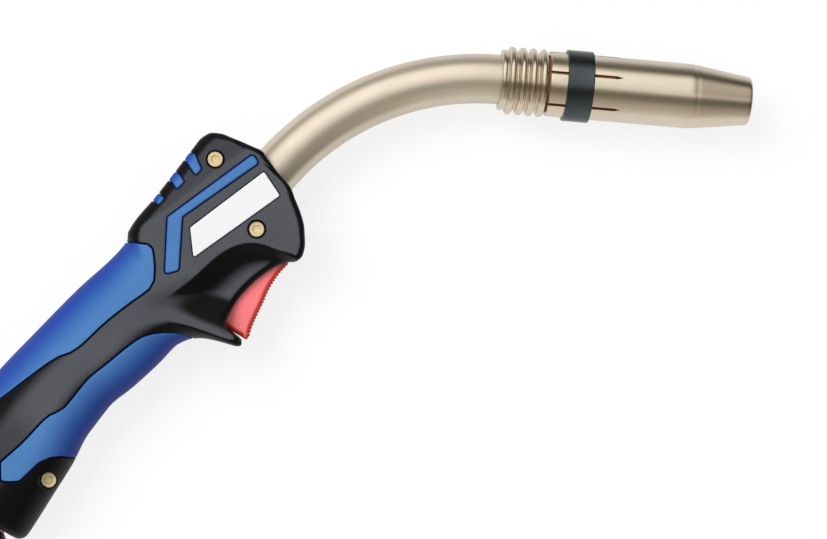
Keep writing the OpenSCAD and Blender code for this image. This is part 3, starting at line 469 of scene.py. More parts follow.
NOSE, END = -7.9, g(1)
head_half, grip_half, land = 17.5, 19.0, 0.6
back_edge = curve([
    [NOSE, -9.9], [-7.4, -11.6], [-6.2, -16.6], [-5, -21], [-3.9, -25], [-0.8, -29.4],
    [4, -30.8], [12, -30.7], [30, -30.6], [43, -31.2], [49, -30.7], [52.5, -29], [57, -29.2],
    [g(0.1), -33], [g(0.32), -35.6], [g(0.53), -37.8], [g(0.79), -39], [g(0.95), -37.6],
    [g(1), -35.5]])
front_edge = curve([
    [NOSE, -7.6], [-7.3, -6.2], [-6.6, -3.8], [-4.9, 2.6], [-3.8, 8.4], [-1, 13.3], [1.6, 17.8],
    [4.8, 22.1], [7.5, 24.6], [12, 28], [15.5, 29.2], [18, 28.6], [20.2, 26.3], [27, 22.5],
    [36, 20.2], [43, 19.6], [50, 20.4], [54, 21.6], [55.5, 23.8], [55.8, 30.6], [57.5, 31.6],
    [58.6, 30.8], [60, 27.7], [62.3, 22.2], [64.2, 18.6], [66.5, 15.7], [68.6, 13.8],
    [g(0.04), 11.4], [g(0.12), 10.6], [g(0.26), 8.2], [g(0.39), 5.4], [g(0.51), 5.5],
    [g(0.65), 7.9], [g(0.79), 9.3], [g(0.91), 10.5], [g(0.97), 10.9], [g(0.99), 10.3],
    [g(1), 8.8]])
half_thick = curve([
    [NOSE, head_half], [52, head_half], [g(0.1), grip_half - 0.4], [g(0.4), grip_half],
    [g(0.7), grip_half], [g(0.9), grip_half - 0.5], [g(0.97), grip_half - 1.4],
    [g(1), grip_half - 3.4]])
back_round = curve([[NOSE, 2.2], [-3, 2.6], [3, 4], [44, 4.5], [50, 7], [56, 14],
                    [g(0.1), 18], [g(1), 18]])
front_round = curve([[NOSE, 2.2], [-3, 2.3], [2, 2.7], [12, 2.9], [20, 2.8], [50, 3], [58, 5],
                     [62, 8], [68.6, 14], [g(0.12), 18], [g(1), 18]])
ridge = curve([[17.5, 26], [18, 24], [19.6, 19.7], [21.6, 13.7], [23.2, 10.8], [26.7, 7.2],
               [31.3, 4.5], [37.1, 2.7], [50.3, 0.3], [62.5, -4.1], [70, -7]])
crease = curve([[NOSE, -12.5], [5.4, -16.8], [15.2, -19.1], [34.3, -24], [40.6, -26.5],
                [47.5, -29.6], [60, -36]])
print("handle from", NOSE, "to", END)

# %% [markdown]
# Across the handle a second number, l, is measured over the skin: on the flat top it is v
# itself, past the flat it runs round the edge's quarter ellipse, and past that down the wall to
# the parting plane. One formula then gives the whole outside of a half shell. The finger scoop
# and the head's lean behind its crease are taken off its height.

# %% Skin formula
def smooth(t):
    """0 to 1 with flat ends: t squared times (3 - 2t)."""
    t = np.clip(t, 0, 1)
    return t * t * (3 - 2 * t)


scoop_from, scoop_wide, scoop_deep, crest_u = 17.5, 14, 5.6, 57
lean_slope, crease_soft = 0.18, 0.4


def scoop(u, v):
    """Depth of the finger scoop: it falls off over its width beside the ridge, by 1 less the
    square of what is left, and fades out over 15 mm before its crest."""
    fall = 1 - (1 - np.clip((v - ridge(u)) / scoop_wide, 0, 1)) ** 2
    fade = smooth((crest_u + 0.25 * (27 - v) - u) / 15)
    return np.where(u < scoop_from, 0, scoop_deep * fall * fade)


def lean(u, v):
    """Past its crease the head's flat leans away by 0.18 a millimetre, softened on the crease."""
    past = np.maximum(0, crease(u) - v)
    return lean_slope * past * past / (past + crease_soft) * smooth((56 - u) / 12)


def square_share(edge, u):
    """How much of a step across the handle is square to an edge, near the steep nose."""
    a, b = np.maximum(u - 0.4, NOSE), u + 0.4
    climb = (edge(b) - edge(a)) / (b - a)
    return 1 - (1 - 1 / np.hypot(1, climb)) * smooth((12 - u) / 6)


def lines(u):
    """At u: edges, half thickness, and of both edges the rounding, its width and its height."""
    b, f, w = back_edge(u), front_edge(u), half_thick(u)
    ra, rb = back_round(u), front_round(u)
    wide_a = np.minimum(ra / square_share(back_edge, u), 0.46 * (f - b))
    wide_b = np.minimum(rb / square_share(front_edge, u), 0.46 * (f - b))
    return b, f, w, ra, rb, wide_a, wide_b, np.minimum(ra, w - land), np.minimum(rb, w - land)


def drop(share, r, h):
    """Drop of the skin at a share of the rounding's width from an edge: a quarter ellipse."""
    return h * (1 - np.sqrt(np.maximum(0, 1 - np.maximum(0, 1 - np.maximum(0, share) / r) ** 2)))


def height(u, v):
    """Height of the skin over the parting plane at (u, v)."""
    b, f, w, ra, rb, _, _, ha, hb = lines(u)
    da, db = square_share(back_edge, u) * (v - b), square_share(front_edge, u) * (f - v)
    return w - np.maximum(drop(da, ra, ha), drop(db, rb, hb)) - scoop(u, v) - lean(u, v)


def skin(u, l):
    """Handle place of skin point (u, l). v is l on the flat top and m + width sin a round an
    edge; z is the height there, and past the edge it goes straight down."""
    u, l = np.broadcast_arrays(np.asarray(u, float), np.asarray(l, float))
    b, f, _, _, _, wa, wb, ha, hb = lines(u)
    m0, m1, ea, eb = b + wa, f - wb, (wa + ha) / 2, (wb + hb) / 2
    past_f, past_b = np.maximum(0, l - m1) / eb, np.maximum(0, m0 - l) / ea
    af, ab = np.minimum(past_f, np.pi / 2), np.minimum(past_b, np.pi / 2)
    v = np.clip(l, m0, m1) + wb * np.sin(af) - wa * np.sin(ab)
    z = height(u, v) - eb * (past_f - af) - ea * (past_b - ab)
    return np.stack([u, v, z], -1)


past_edge = 3.5


def to_l(u, v):
    """l of a ground outline's point (u, v). Past the silhouette it runs on down the wall, by
    past_edge for each millimetre."""
    b, f, _, _, _, wa, wb, ha, hb = lines(u)
    m0, m1, ea, eb = b + wa, f - wb, (wa + ha) / 2, (wb + hb) / 2
    front = m1 + eb * np.arcsin(np.clip((v - m1) / wb, 0, 1)) + past_edge * np.maximum(0, v - f)
    rear = m0 - ea * np.arcsin(np.clip((m0 - v) / wa, 0, 1)) - past_edge * np.maximum(0, b - v)
    return np.where(v > m1, front, np.where(v < m0, rear, v))


def normal(u, l):
    """Unit normal of the skin, from the cross product of its slopes along u and l."""
    e = 0.02
    du = skin(u + e, l) - skin(u - e, l)
    dl = skin(u, l + e) - skin(u, l - e)
    n = np.cross(du, dl)
    return n / np.maximum(np.linalg.norm(n, axis=-1, keepdims=True), 1e-12)


def sunk(u, l, depth):
    """Skin point moved inwards along the normal, in part millimetres."""
    return laid(skin(u, l) - normal(u, l) * np.asarray(depth, float)[..., None])


print("skin over the middle of the head", height(20.0, 0.0).round(2), "mm")


# %% [markdown]
# A half shell stops at the parting plane, at the neck's bore in the nose, and over the trigger's
# bay. The last l on each side is found by walking down the skin until a test fails.

# %% Where the skin ends
pivot, bay_r, bay_half, bay_from = np.array([19, 22.6]), 36.75, 8.1, 15.4
bore_r = 10.3
beak_u = np.linspace(55, 57, 400)
swung_u = pivot[0] + np.sqrt(bay_r ** 2 - (front_edge(beak_u) - pivot[1]) ** 2)
bay_to = beak_u[np.argmax(beak_u > swung_u)]


def last_l(u, side, cut):
    """Last l on the front (side 1) or back (side -1) at which the skin is still above cut and
    outside the neck's bore."""
    b, f, _, _, _, wa, wb, _, _ = lines(u)
    start = f - wb if side > 0 else b + wa
    walk = np.linspace(0, 34, 700)
    l = start[:, None] + side * walk
    p = skin(u[:, None], l)
    keep = p[..., 2] - cut[:, None]
    near_bore = (u[:, None] < 0) & (np.abs(p[..., 1]) < bore_r)
    keep = np.where(near_bore, np.minimum(keep, p[..., 2] - np.sqrt(
        np.maximum(0, bore_r ** 2 - p[..., 1] ** 2))), keep)
    i = np.maximum(1, np.argmax(keep <= 0, axis=1))
    rows = np.arange(len(u))
    a, c = keep[rows, i - 1], keep[rows, i]
    return start + side * (walk[i - 1] + (walk[i] - walk[i - 1]) * a / np.maximum(a - c, 1e-9))


SKIN_END, HAIR = END - 0.5, 1e-4
bay_steps = [bay_from, bay_from + HAIR, bay_to, bay_to + HAIR]
stations = np.unique(np.concatenate([
    np.linspace(NOSE, 12, 90), np.linspace(12, SKIN_END, 420), np.linspace(53, 61, 120),
    np.linspace(55.4, 55.9, 40), bay_steps]))
in_bay = (stations > bay_from) & (stations <= bay_to)
l_front = last_l(stations, 1, np.where(in_bay, bay_half, 0.0))
l_back = last_l(stations, -1, np.zeros(len(stations)))
steep = np.maximum(np.abs(np.gradient(front_edge(stations), stations)),
                   np.abs(np.gradient(back_edge(stations), stations)))
room = np.sqrt(1 + np.clip(steep, 0, 6) ** 2)
run = np.concatenate([[0], np.cumsum(np.diff(stations) * (room[1:] + room[:-1]) / 2)])
print("skin", len(stations), "stations, run", round(run[-1], 1), "mm")

# %% [markdown]
# A patch of skin is cut out along its outlines. The outlines and an even field of points go to a
# constrained triangulation, which keeps every outline as a chain of edges; triangles outside the
# patch are dropped. Each outline's rim then rolls over its edge and down into the groove, in
# rows, so that a joint between two mouldings shows as a soft dark line, as on the real thing.

# %% Outline helpers
def fillet(corners, r, steps=6):
    """Closed outline whose corners are curves between the points r / tan(half angle) away."""
    p = np.asarray(corners, float)
    a, c = np.roll(p, 1, 0) - p, np.roll(p, -1, 0) - p
    la, lc = np.linalg.norm(a, axis=1), np.linalg.norm(c, axis=1)
    half = np.arccos(np.clip((a * c).sum(1) / (la * lc), -1, 1)) / 2
    t = np.minimum(np.minimum(r / np.tan(half), 0.45 * la), 0.45 * lc)
    start, stop = p + a * (t / la)[:, None], p + c * (t / lc)[:, None]
    s = np.linspace(0, 1, steps)[None, :, None]
    return ((1 - s) ** 2 * start[:, None] + 2 * s * (1 - s) * p[:, None]
            + s ** 2 * stop[:, None]).reshape(-1, 2)


def even(loop, step):
    """Closed outline as points an even step apart, counter-clockwise."""
    closed = np.concatenate([loop, loop[:1]])
    x, y = closed[:-1].T, closed[1:].T
    if ((x[0] * y[1] - y[0] * x[1]).sum()) < 0:
        closed = closed[::-1]
    d = np.concatenate([[0], np.cumsum(np.linalg.norm(np.diff(closed, axis=0), axis=1))])
    at = np.linspace(0, d[-1], max(8, int(d[-1] / step)) + 1)[:-1]
    return np.stack([np.interp(at, d, closed[:, 0]), np.interp(at, d, closed[:, 1])], -1)


def ground(corners, r=0.6, step=0.5):
    """Ground outline on the handle: rounded, laid on the skin as (u, l), and evened out."""
    loop = even(fillet(corners, r), 0.05)
    return even(np.stack([loop[:, 0], to_l(loop[:, 0], loop[:, 1])], -1), step)


def offset(loop, d):
    """Closed counter-clockwise outline moved outwards by d along its points' normals."""
    t = np.roll(loop, -1, 0) - np.roll(loop, 1, 0)
    t = t / np.maximum(np.linalg.norm(t, axis=1, keepdims=True), 1e-12)
    return loop + d * np.stack([t[:, 1], -t[:, 0]], -1)


def inside(points, loop):
    """Which points lie in a closed outline: an odd number of its edges cross the ray to +u."""
    out = np.zeros(len(points), bool)
    box = ((points >= loop.min(0)) & (points <= loop.max(0))).all(1)
    px, py = points[box].T
    ax, ay = loop.T
    bx, by = np.roll(loop, -1, 0).T
    hits = np.zeros(len(px), int)
    for start in range(0, len(loop), 64):
        part = slice(start, start + 64)
        crosses = (ay[part] > py[:, None]) != (by[part] > py[:, None])
        climb = np.where(by[part] == ay[part], 1e-12, by[part] - ay[part])
        at = ax[part] + (py[:, None] - ay[part]) * (bx[part] - ax[part]) / climb
        hits += (crosses & (px[:, None] < at)).sum(1)
    out[box] = hits % 2 == 1
    return out


def on_skin(points, margin):
    """Which (u, l) points lie on the half shell, a margin inside its lower edges."""
    u, l = points.T
    over_back = l >= np.interp(u, stations, l_back) + margin
    under_front = l <= np.interp(u, stations, l_front) - margin
    return over_back & under_front & (u >= NOSE - 1e-9) & (u <= SKIN_END + 1e-9)


# %% Rims and the even sheet
ROLL, FIELD, CLEAR = 0.34, 0.8, 0.5
roll_rows = [(ROLL, 0.0), (0.2, 0.025), (0.08, 0.11), (0.015, 0.25), (0.0, 0.4), (0.0, 1.2)]
crowned_rows = [(0.9, 0.0), (0.62, 0.05), (0.36, 0.16), (0.15, 0.34), (0.03, 0.6), (0.0, 0.9),
                (0.0, 1.3)]


def warp(points):
    """(u, l) on an even sheet, where steep stretches of the edges take more room along u."""
    return np.stack([np.interp(points[:, 0], stations, run), points[:, 1]], -1)


def unwarp(points):
    """Back from the even sheet to (u, l)."""
    return np.stack([np.interp(points[:, 0], run, stations), points[:, 1]], -1)


even_u = np.interp(np.arange(0, run[-1], CLEAR), run, stations)
fine = np.unique(np.concatenate([even_u, stations[::2], bay_steps, [NOSE, SKIN_END]]))
fine_l = {1: np.interp(fine, stations, l_front), -1: np.interp(fine, stations, l_back)}
front, rear = (np.stack([fine, fine_l[side] - side * ROLL], -1) for side in (1, -1))
ends = [np.stack([np.full(60, u), np.linspace(r[1], f[1], 62)[1:-1]], -1)
        for u, r, f in ((NOSE, rear[0], front[0]), (SKIN_END, rear[-1], front[-1]))]
shell_rim = np.concatenate([rear, ends[1], front[::-1], ends[0][::-1]])
print("rim of a half shell", len(shell_rim), "points")


# %% Patch of skin
def field_in(low, high, kept):
    """Even field of (u, l) points between two corners of the sheet, every second row half a step
    on, as far as they are kept."""
    s, l = np.meshgrid(np.arange(low[0] + 0.3, high[0], FIELD), np.arange(low[1], high[1], FIELD),
                       indexing="ij")
    l = l + FIELD / 2 * (np.arange(len(s)) % 2)[:, None]
    field = unwarp(np.stack([s, l], -1).reshape(-1, 2))
    return field[kept(field)]


def filled(loops, field, kept):
    """Points (u, l) and triangles between closed outlines. The outlines' chains are kept as edges,
    and field points stay clear of them."""
    points, edges = [], []
    for loop in loops:
        index = np.arange(len(loop)) + sum(len(p) for p in points)
        edges += np.stack([index, np.roll(index, -1)], -1).tolist()
        points.append(loop)
    chain, grid = warp(np.concatenate(points)), warp(field)
    taken = set(map(tuple, np.round(chain / CLEAR).astype(int).tolist()))
    free = np.array([tuple(c) not in taken for c in np.round(grid / CLEAR).astype(int).tolist()], bool)
    found = delaunay_2d_cdt(np.concatenate([chain, grid[free]]).tolist(), edges, [], 0, 1e-5, False)
    flat, triangles = unwarp(np.array([tuple(p) for p in found[0]])), np.array(found[2])
    triangles = triangles[kept(flat[triangles].mean(1))]
    a, b, c = (flat[triangles[:, k]] for k in range(3))
    turned_over = ((b - a)[:, 0] * (c - a)[:, 1] - (b - a)[:, 1] * (c - a)[:, 0]) < 0
    triangles[turned_over] = triangles[turned_over][:, ::-1]
    used, back_to = np.unique(triangles, return_inverse=True)
    return flat[used], back_to.reshape(-1, 3)


def add_rim(surface, loop, sign, rows, lift):
    """Rolls the edge of an outline over in rows of (way back from it, depth): inwards with
    sign -1, or outwards, round a hole, with sign 1."""
    count = len(loop) + 1
    sheets = np.stack([np.concatenate([offset(loop, sign * r[0])] * 2)[:count] for r in rows])
    good = on_skin(sheets[0], ROLL - 0.02)
    depth = np.array([r[1] for r in rows]) - lift
    pts = sunk(sheets[..., 0], sheets[..., 1], np.broadcast_to(depth[:, None], sheets.shape[:2]))
    q = quads(len(rows), count, flip=sign < 0)
    surface.sheet(pts, q[good[q % count].all(1)])


def add_lower_edge(surface, side, kept):
    """Rolls the edge of the half shell over along the parting plane and over the bay."""
    last = fine_l[side]
    strip = np.stack([np.stack([fine, last - side * r[0]], -1) for r in roll_rows])
    depth = np.array([r[1] for r in roll_rows])
    pts = sunk(strip[..., 0], strip[..., 1], np.broadcast_to(depth[:, None], strip.shape[:2]))
    u = (fine[1:] + fine[:-1]) / 2
    middle = np.stack([u, np.interp(u, fine, last) - side * ROLL * 1.02], -1)
    ok = kept(middle) & (np.diff(fine) > 2 * HAIR)
    q = quads(len(roll_rows), len(fine), flip=side < 0).reshape(len(roll_rows) - 1, -1, 4)
    surface.sheet(pts, q[:, ok].reshape(-1, 4))


def patch(outer, holes=(), floors=(), rows=roll_rows, lift=0.0):
    """Surface of a piece of skin: inside `outer` (the whole half shell if None) and outside
    `holes`. floors gives each hole's extra rim rows, rows the outer rim's, and lift raises it."""
    start = None if outer is None else offset(outer, -rows[0][0])
    grown = [offset(h, ROLL) for h in holes]

    def kept(points):
        keep = on_skin(points, ROLL - 1e-6)
        if start is not None:
            keep &= inside(points, start)
        for h in grown:
            keep &= ~inside(points, h)
        return keep

    corners = np.array([[0.0, l_back.min()], [run[-1], l_front.max()]]) if start is None else warp(start)
    loops = [shell_rim] + ([start] if start is not None else []) + grown
    flat, triangles = filled(loops, field_in(corners.min(0), corners.max(0), kept), kept)
    surface = Surface().sheet(sunk(flat[:, 0], flat[:, 1], np.full(len(flat), -lift)), triangles)
    if outer is not None:
        add_rim(surface, outer, -1, rows, lift)
    for hole, extra in zip(holes, floors):
        add_rim(surface, hole, 1, roll_rows[:-1] + extra, 0.0)
    for side in (1, -1):
        add_lower_edge(surface, side, kept)
    return surface


# %% [markdown]
# These are the outlines on the handle: two soft blue panels a side with their rounded ends, a
# bent stripe, three bars over the back edge, the blank label plate and three screw recesses.

# %% Outlines on the handle
def sampled(table, n):
    """n + 1 points of the smooth curve through a table."""
    at = np.linspace(table[0][0], table[-1][0], n + 1)
    return np.stack([at, curve(table)(at)], -1).tolist()


back_ground = [[52.6, -37], [52.6, -29], [48, -21.5], [48.2, -18.9]] + sampled([
    [50.2, -16.7], [58, -10.6], [61.3, -10], [68.4, -12], [g(0.12), -15.5], [g(0.275), -18.2],
    [g(0.345), -22.3], [g(0.495), -27], [g(0.6), -30], [g(0.79), -38.5]], 26) + [[g(0.8), -47]]
front_ground = [[66.4, 22], [67, 13.5]] + sampled([
    [68.9, 9.1], [g(0.016), 4.9], [g(0.056), 0.6], [g(0.09), -1.6], [g(0.246), -5.7],
    [g(0.35), -7.9], [g(0.47), -8.1], [g(0.55), -11.5], [g(0.675), -12.8], [g(0.79), -15]], 28) + [
    [g(0.85), -10.2], [g(0.832), -7.3], [g(0.805), -4.1], [g(0.75), -3.2], [g(0.704), -2.5],
    [g(0.665), -0.3], [g(0.638), 2.8], [g(0.62), 7.2], [g(0.61), 16]]
stripe_ground = [[-4.8, -10.7], [35.2, -22], [53.7, -9.1], [48.9, -5.6], [31.5, -17.3],
                 [-3.6, -6.5]]
label_ground = [[41.5, -4.2], [33, -12.4], [-2, -3], [1.6, 7.7]]
bar_grounds = [
    [[9.4, -39], [9.4, -31], [8.8, -29], [12.1, -22.9], [15.6, -23.3], [13.2, -31], [13.2, -39]],
    [[19, -37], [19, -28.9], [20, -25.2], [24.5, -25.7], [23.4, -29], [23.4, -37]],
    [[29.3, -37], [29.9, -27.6], [33.5, -27.8], [33.9, -37]]]
screws = np.array([[5.8, -21.1], [17.6, 8.5], [g(0.742), 4.2]])
recess_r = 3.5
around = np.linspace(0, 2 * np.pi, 49)[:-1]


def disc(centre, r):
    """Circle on the skin as (u, l)."""
    return np.stack([centre[0] + r * np.cos(around), centre[1] + r * np.sin(around)], -1)


back_loop, front_loop = ground(back_ground, 2), ground(front_ground, 2)
stripe_loop = ground(stripe_ground, 1.5, 0.4)
label_loop = ground(label_ground, 0.7)
bar_loops = [ground(b, 1.0, 0.4) for b in bar_grounds]
screw_loops = [even(np.stack([rim[:, 0], to_l(rim[:, 0], rim[:, 1])], -1), 0.4)
               for rim in (disc(screw, recess_r) for screw in screws)]
print("outlines", len(back_loop), len(front_loop), len(stripe_loop), len(label_loop))

# %% [markdown]
# The rear end closes with a ring round the swivel: a strip between the skin's last section and a
# circle. The nose ends in a narrow face, a strip between its two walls. The screws sit in round
# wells whose walls run straight down, also where the skin beside them is steep.

# %% Ends and wells of a half shell
def rear_ring(surface, u, centre, r, deep):
    """Closes a half shell at u: rows step in from its outline, then a ring to the circle of
    radius r at v = centre, then the bore's wall for `deep` millimetres."""
    l = np.linspace(np.interp(u, stations, l_back), np.interp(u, stations, l_front), 90)
    p = skin(np.full(len(l), u), l)
    rays = p[:, 1:] - [centre, 0]
    long = np.linalg.norm(rays, axis=1, keepdims=True)
    rows = []
    for step, way in ((0, long), (0.25, long - 0.12), (0.45, long - 0.45), (0.5, r), (0.5 - deep, r)):
        row = p.copy()
        row[:, 0] = u + step
        row[:, 1:] = [centre, 0] + rays / long * np.maximum(way, r)
        rows.append(row)
    surface.grid(laid(np.array(rows)))


def nose_face(surface, u):
    """Closes the nose's narrow end between its back wall and its front wall."""
    middle = (back_edge(u) + front_edge(u)) / 2
    ends = [np.interp(u, stations, edge) for edge in (l_back, l_front)]
    surface.grid(laid(np.array([skin(np.full(30, u), np.linspace(end, middle, 30)) for end in ends])))


head_r, sink, plate = 3.0, 1.8, 1.6


def screw_top(u, v):
    """Height of a screw head's top: sunk in the skin, and lower where the skin beside it falls."""
    return np.minimum(height(u, v) - sink, height(u, v + head_r) + 0.6)


def well(surface, centre, r, floor):
    """Wall and floor of a screw's recess, from just under the rim down to the floor."""
    rim = disc(centre, r)
    rim = np.concatenate([rim, rim[:1]])
    top = height(rim[:, 0], rim[:, 1]) - 0.25
    low = np.minimum(floor, top - 0.2)
    inwards = centre - rim
    surface.grid(laid(np.array([
        np.column_stack([rim, top]), np.column_stack([rim, low + 0.2]),
        np.column_stack([rim + inwards * 0.06, low]),
        np.column_stack([rim + inwards * 0.5, np.full(len(rim), floor - 0.05)])])))


# %% [markdown]
# Each half shell is one moulding in a dark, finely eroded plastic. Where it turns down, away from
# the light, its colour goes to an almost black painted shade by the attribute `facing_shade`, and
# shell_shade paints more shade on the rear cap and round the scoop. The far shell has no pocket for the
# label.

# %% Shells
def shell_shade(u, v):
    """Painted shade, 0 to 1, added to the shade by facing: the rear cap, which turns away from the
    light, a band that fades in towards it, and places beside the scoop's ridge and on its floor."""
    cap = smooth((v + 13) / 9) * smooth((u - 127) / 4)
    fade = 0.22 * smooth((u - 124) / 16)
    past = v - ridge(u)
    beside = 0.2 * smooth(1 - np.abs(past) / 6) * smooth((u - 45) / 7) * smooth((70 - u) / 8)
    within = 0.04 * smooth((past - 8) / 5) * (u > scoop_from) * (u < crest_u - 1)
    return np.clip(cap + fade + beside + within, 0, 1)


tops = screw_top(screws[:, 0], screws[:, 1])
groove_floor = [(0.0, 1.1), (-0.8, 1.15)]
holes = [back_loop, front_loop, *[offset(loop, 0.12) for loop in bar_loops],
         offset(stripe_loop, 0.15), *screw_loops]
floors = [groove_floor] * (len(holes) - len(screws)) + [[]] * len(screws)
near = patch(None, holes + [offset(label_loop, 0.15)], floors + [groove_floor])
far_side = patch(None, holes, floors)
for shell in (near, far_side):
    rear_ring(shell, SKIN_END, -14, 15.15, 8)
    nose_face(shell, NOSE)
    for place, top in zip(screws, tops):
        well(shell, place, recess_r, top - plate - 0.02)
print("screw tops", tops.round(2))
build("shell_near", near, "shell", "handle", ["handle_shell_near"], shade=shell_shade)
build("shell_far", far_side.mirrored(), "shell", "handle", ["handle_shell_far"], shade=shell_shade)

# %% [markdown]
# The blue inlays are a soft rubber moulded into pockets of the shells. The two panels are flush
# and leave a narrow groove; the stripe and the bars stand a little proud with a crowned edge. All
# are pieces of the same skin, so they follow the handle, and the far side is their mirror twin.

# %% Blue inlays
groove = 0.45


def both_sides(name, surface, node):
    """A blue inlay on the near side and its twin on the far side."""
    build(name + "_near", surface, "grip_blue", "handle", [node + "_near"])
    build(name + "_far", surface.mirrored(), "grip_blue", "handle", [node + "_far"])


both_sides("back_panel", patch(offset(back_loop, -groove)), "back_grip")
both_sides("front_panel", patch(offset(front_loop, -groove)), "front_grip")
both_sides("head_stripe", patch(stripe_loop, rows=crowned_rows, lift=0.18), "accent_stripe")
bars = Surface()
for loop in bar_loops:
    made = patch(loop, rows=crowned_rows)
    bars.sheet(np.concatenate(made.points), made.faces)
both_sides("edge_bars", bars, "accent_bars")

# %% [markdown]
# The label is a thin white vinyl plate in its own shallow pocket, and it is blank.

# %% Label
build("label_blank", patch(label_loop, lift=0.08), "label_white", "handle", ["label_plate"])

# %% [markdown]
# The trigger's bay is a slot between the shells, with flat cheeks and a round end that the
# trigger swings past. It is a wall carried along the slot's outline and two cheeks.

# %% Trigger bay
bay_floor, deep_floor, deep_from = 10.6, 7.9, 23.5
sweep = np.linspace(np.arcsin((13 - pivot[1]) / bay_r), np.arcsin((26.5 - pivot[1]) / bay_r), 16)
arc = pivot + bay_r * np.stack([np.cos(sweep), np.sin(sweep)], -1)
outline = np.concatenate([[[bay_from, 24.0], [bay_from, bay_floor], [deep_from, bay_floor],
                           [deep_from, deep_floor], [arc[0, 0] - 0.4, deep_floor]], arc])
levels = np.linspace(-bay_half, bay_half, 5)
bay = Surface().grid(in_handle(outline[None, :, 0], outline[None, :, 1], levels[:, None]), flip=True)
across_u = np.linspace(bay_from, arc[-1, 0], 60)
top_v = front_edge(across_u) - 0.3
low_v = np.interp(across_u,
                  [bay_from, deep_from, deep_from + 0.1, arc[0, 0], arc[0, 0] + 0.01, arc[-1, 0]],
                  [bay_floor, bay_floor, deep_floor, deep_floor, 13, 26.5])
cheek_v = low_v + (top_v - low_v) * np.linspace(0, 1, 8)[:, None]
for side in (1, -1):
    bay.grid(in_handle(across_u, cheek_v, side * bay_half), flip=side < 0)
build("trigger_bay", bay, "inner_black", "handle")

# %% [markdown]
# The trigger is one outline carried across its width. The sides are flat, the edges roll over
# with a radius, and two dozen small ribs run across the front and fade out at the edges. Behind
# its front wall it is hollow between two cheeks, with a post that presses the switch.

# %% Outline of the trigger
ribs, rib_depth, ribs_from, ribs_to = 24, 0.5, 20.5, 53
front_line = curve([[16.4, 24], [18.5, 26.1], [21, 26.9], [26, 26.5], [31, 26.8], [35, 27.5],
                    [39.3, 28.6], [44, 29.6], [48.6, 30.7], [53.4, 32.5]])
ribs_u = np.linspace(ribs_from, ribs_to, ribs * 8 + 1)
front_run = np.stack([ribs_u, front_line(ribs_u) - rib_depth / 2], -1)
low_arc = np.linspace(15, -9, 17)
low_reach = 36.4 + 0.08 * np.maximum(0, low_arc - 10)
low_arc = np.radians(low_arc)
bottom = pivot + low_reach[:, None] * np.stack([np.cos(low_arc), np.sin(low_arc)], -1)
round_pivot = pivot + [[1, -3], [-1.8, -2], [-2.8, -1], [-2.4, 3], [-0.6, 4]]
outline = np.concatenate([front_run, bottom, [[46, 15.5], [24, 17.5]], round_pivot])
outline = even(outline, 0.17)
on_front = outline[:, 1] > front_line(outline[:, 0]) - 1.2
rib_wave = np.interp(outline[:, 0], [ribs_from - 0.1, ribs_from + 0.1, ribs_to, ribs_to + 0.2],
                     [0, 1, 1, 0]) * on_front
turns = (outline[:, 0] - ribs_from) / (ribs_to - ribs_from)
rib_wave = rib_wave * (np.abs(np.sin(ribs * np.pi * turns)) - 0.5) * rib_depth
hollow = np.array([[14, 8], [14, 25], [20, 25]]
                  + [[u, front_line(u) - 2] for u in (22, 27, 32, 37, 42, 46, 50)]
                  + [[53, front_line(53) - 3.4], [53.7, 26], [53.9, 8]])
hollow = even(hollow, 0.25)
hidden = inside(outline, hollow)
# The outline gets a point on each crossing with the hollow
for i in np.flatnonzero(hidden != np.roll(hidden, -1)):
    j = (i + 1) % len(outline)
    way = outline[i] + np.linspace(0, 1, 400)[:, None] * (outline[j] - outline[i])
    outline[j if hidden[i] else i] = way[np.argmax(inside(way, hollow) != hidden[i])]
open_edge = inside((outline + np.roll(outline, -1, 0)) / 2, hollow)
print("trigger outline", len(outline), "points, open along", int(open_edge.sum()))

# %% Trigger
edge_r, half_w, cheek_z, flat_rows, rolled_rows = 2.3, 7.5, 6.0, 4, 4
at_cheek = np.arcsin((cheek_z - half_w + edge_r) / edge_r)
a = np.concatenate([np.linspace(0, at_cheek, rolled_rows), np.linspace(at_cheek, np.pi / 2, 8)[1:]])
inset = np.concatenate([np.zeros(flat_rows), edge_r * (1 - np.cos(a))])
reach_z = np.concatenate([[0, 2, 4, 5], half_w - edge_r + edge_r * np.sin(a)])
fade = np.clip(1 - inset / (0.75 * edge_r), 0, 1)
rows = np.array([offset(offset(outline, -i), f * rib_wave[:, None]) for i, f in zip(inset, fade)])
to_cheek = flat_rows + rolled_rows - 1
lip = rows[to_cheek]
rows = np.concatenate([rows, rows[:, :1]], 1)


def meshed(*loops):
    """Points and triangles of closed outlines laid over each other in one plane."""
    edges, first = [], 0
    for loop in loops:
        edges += [[first + i, first + (i + 1) % len(loop)] for i in range(len(loop))]
        first += len(loop)
    found = delaunay_2d_cdt(np.concatenate(loops).tolist(), edges, [], 0, 1e-6, False)
    return np.array([tuple(p) for p in found[0]]), np.array(found[2])


trigger = Surface()
top = offset(outline, -edge_r)
top_points, top_faces = meshed(top)
top_faces = top_faces[inside(top_points[top_faces].mean(1), top)]
points, faces = meshed(lip, hollow)
middles = points[faces].mean(1)
solid, void = inside(middles, lip), inside(middles, hollow)
cheek_faces, wall_faces = faces[solid & void], faces[solid & ~void]
for side in (1, -1):
    q = quads(len(rows), rows.shape[1], flip=side < 0).reshape(len(rows) - 1, -1, 4)
    keep = np.ones(q.shape[:2], bool)
    keep[:to_cheek] = ~open_edge
    trigger.sheet(in_handle(rows[..., 0], rows[..., 1], side * reach_z[:, None]), q[keep])
    trigger.sheet(in_handle(*top_points.T, side * half_w), top_faces[:, ::side])
    trigger.sheet(in_handle(*points.T, side * cheek_z), cheek_faces[:, ::-side])
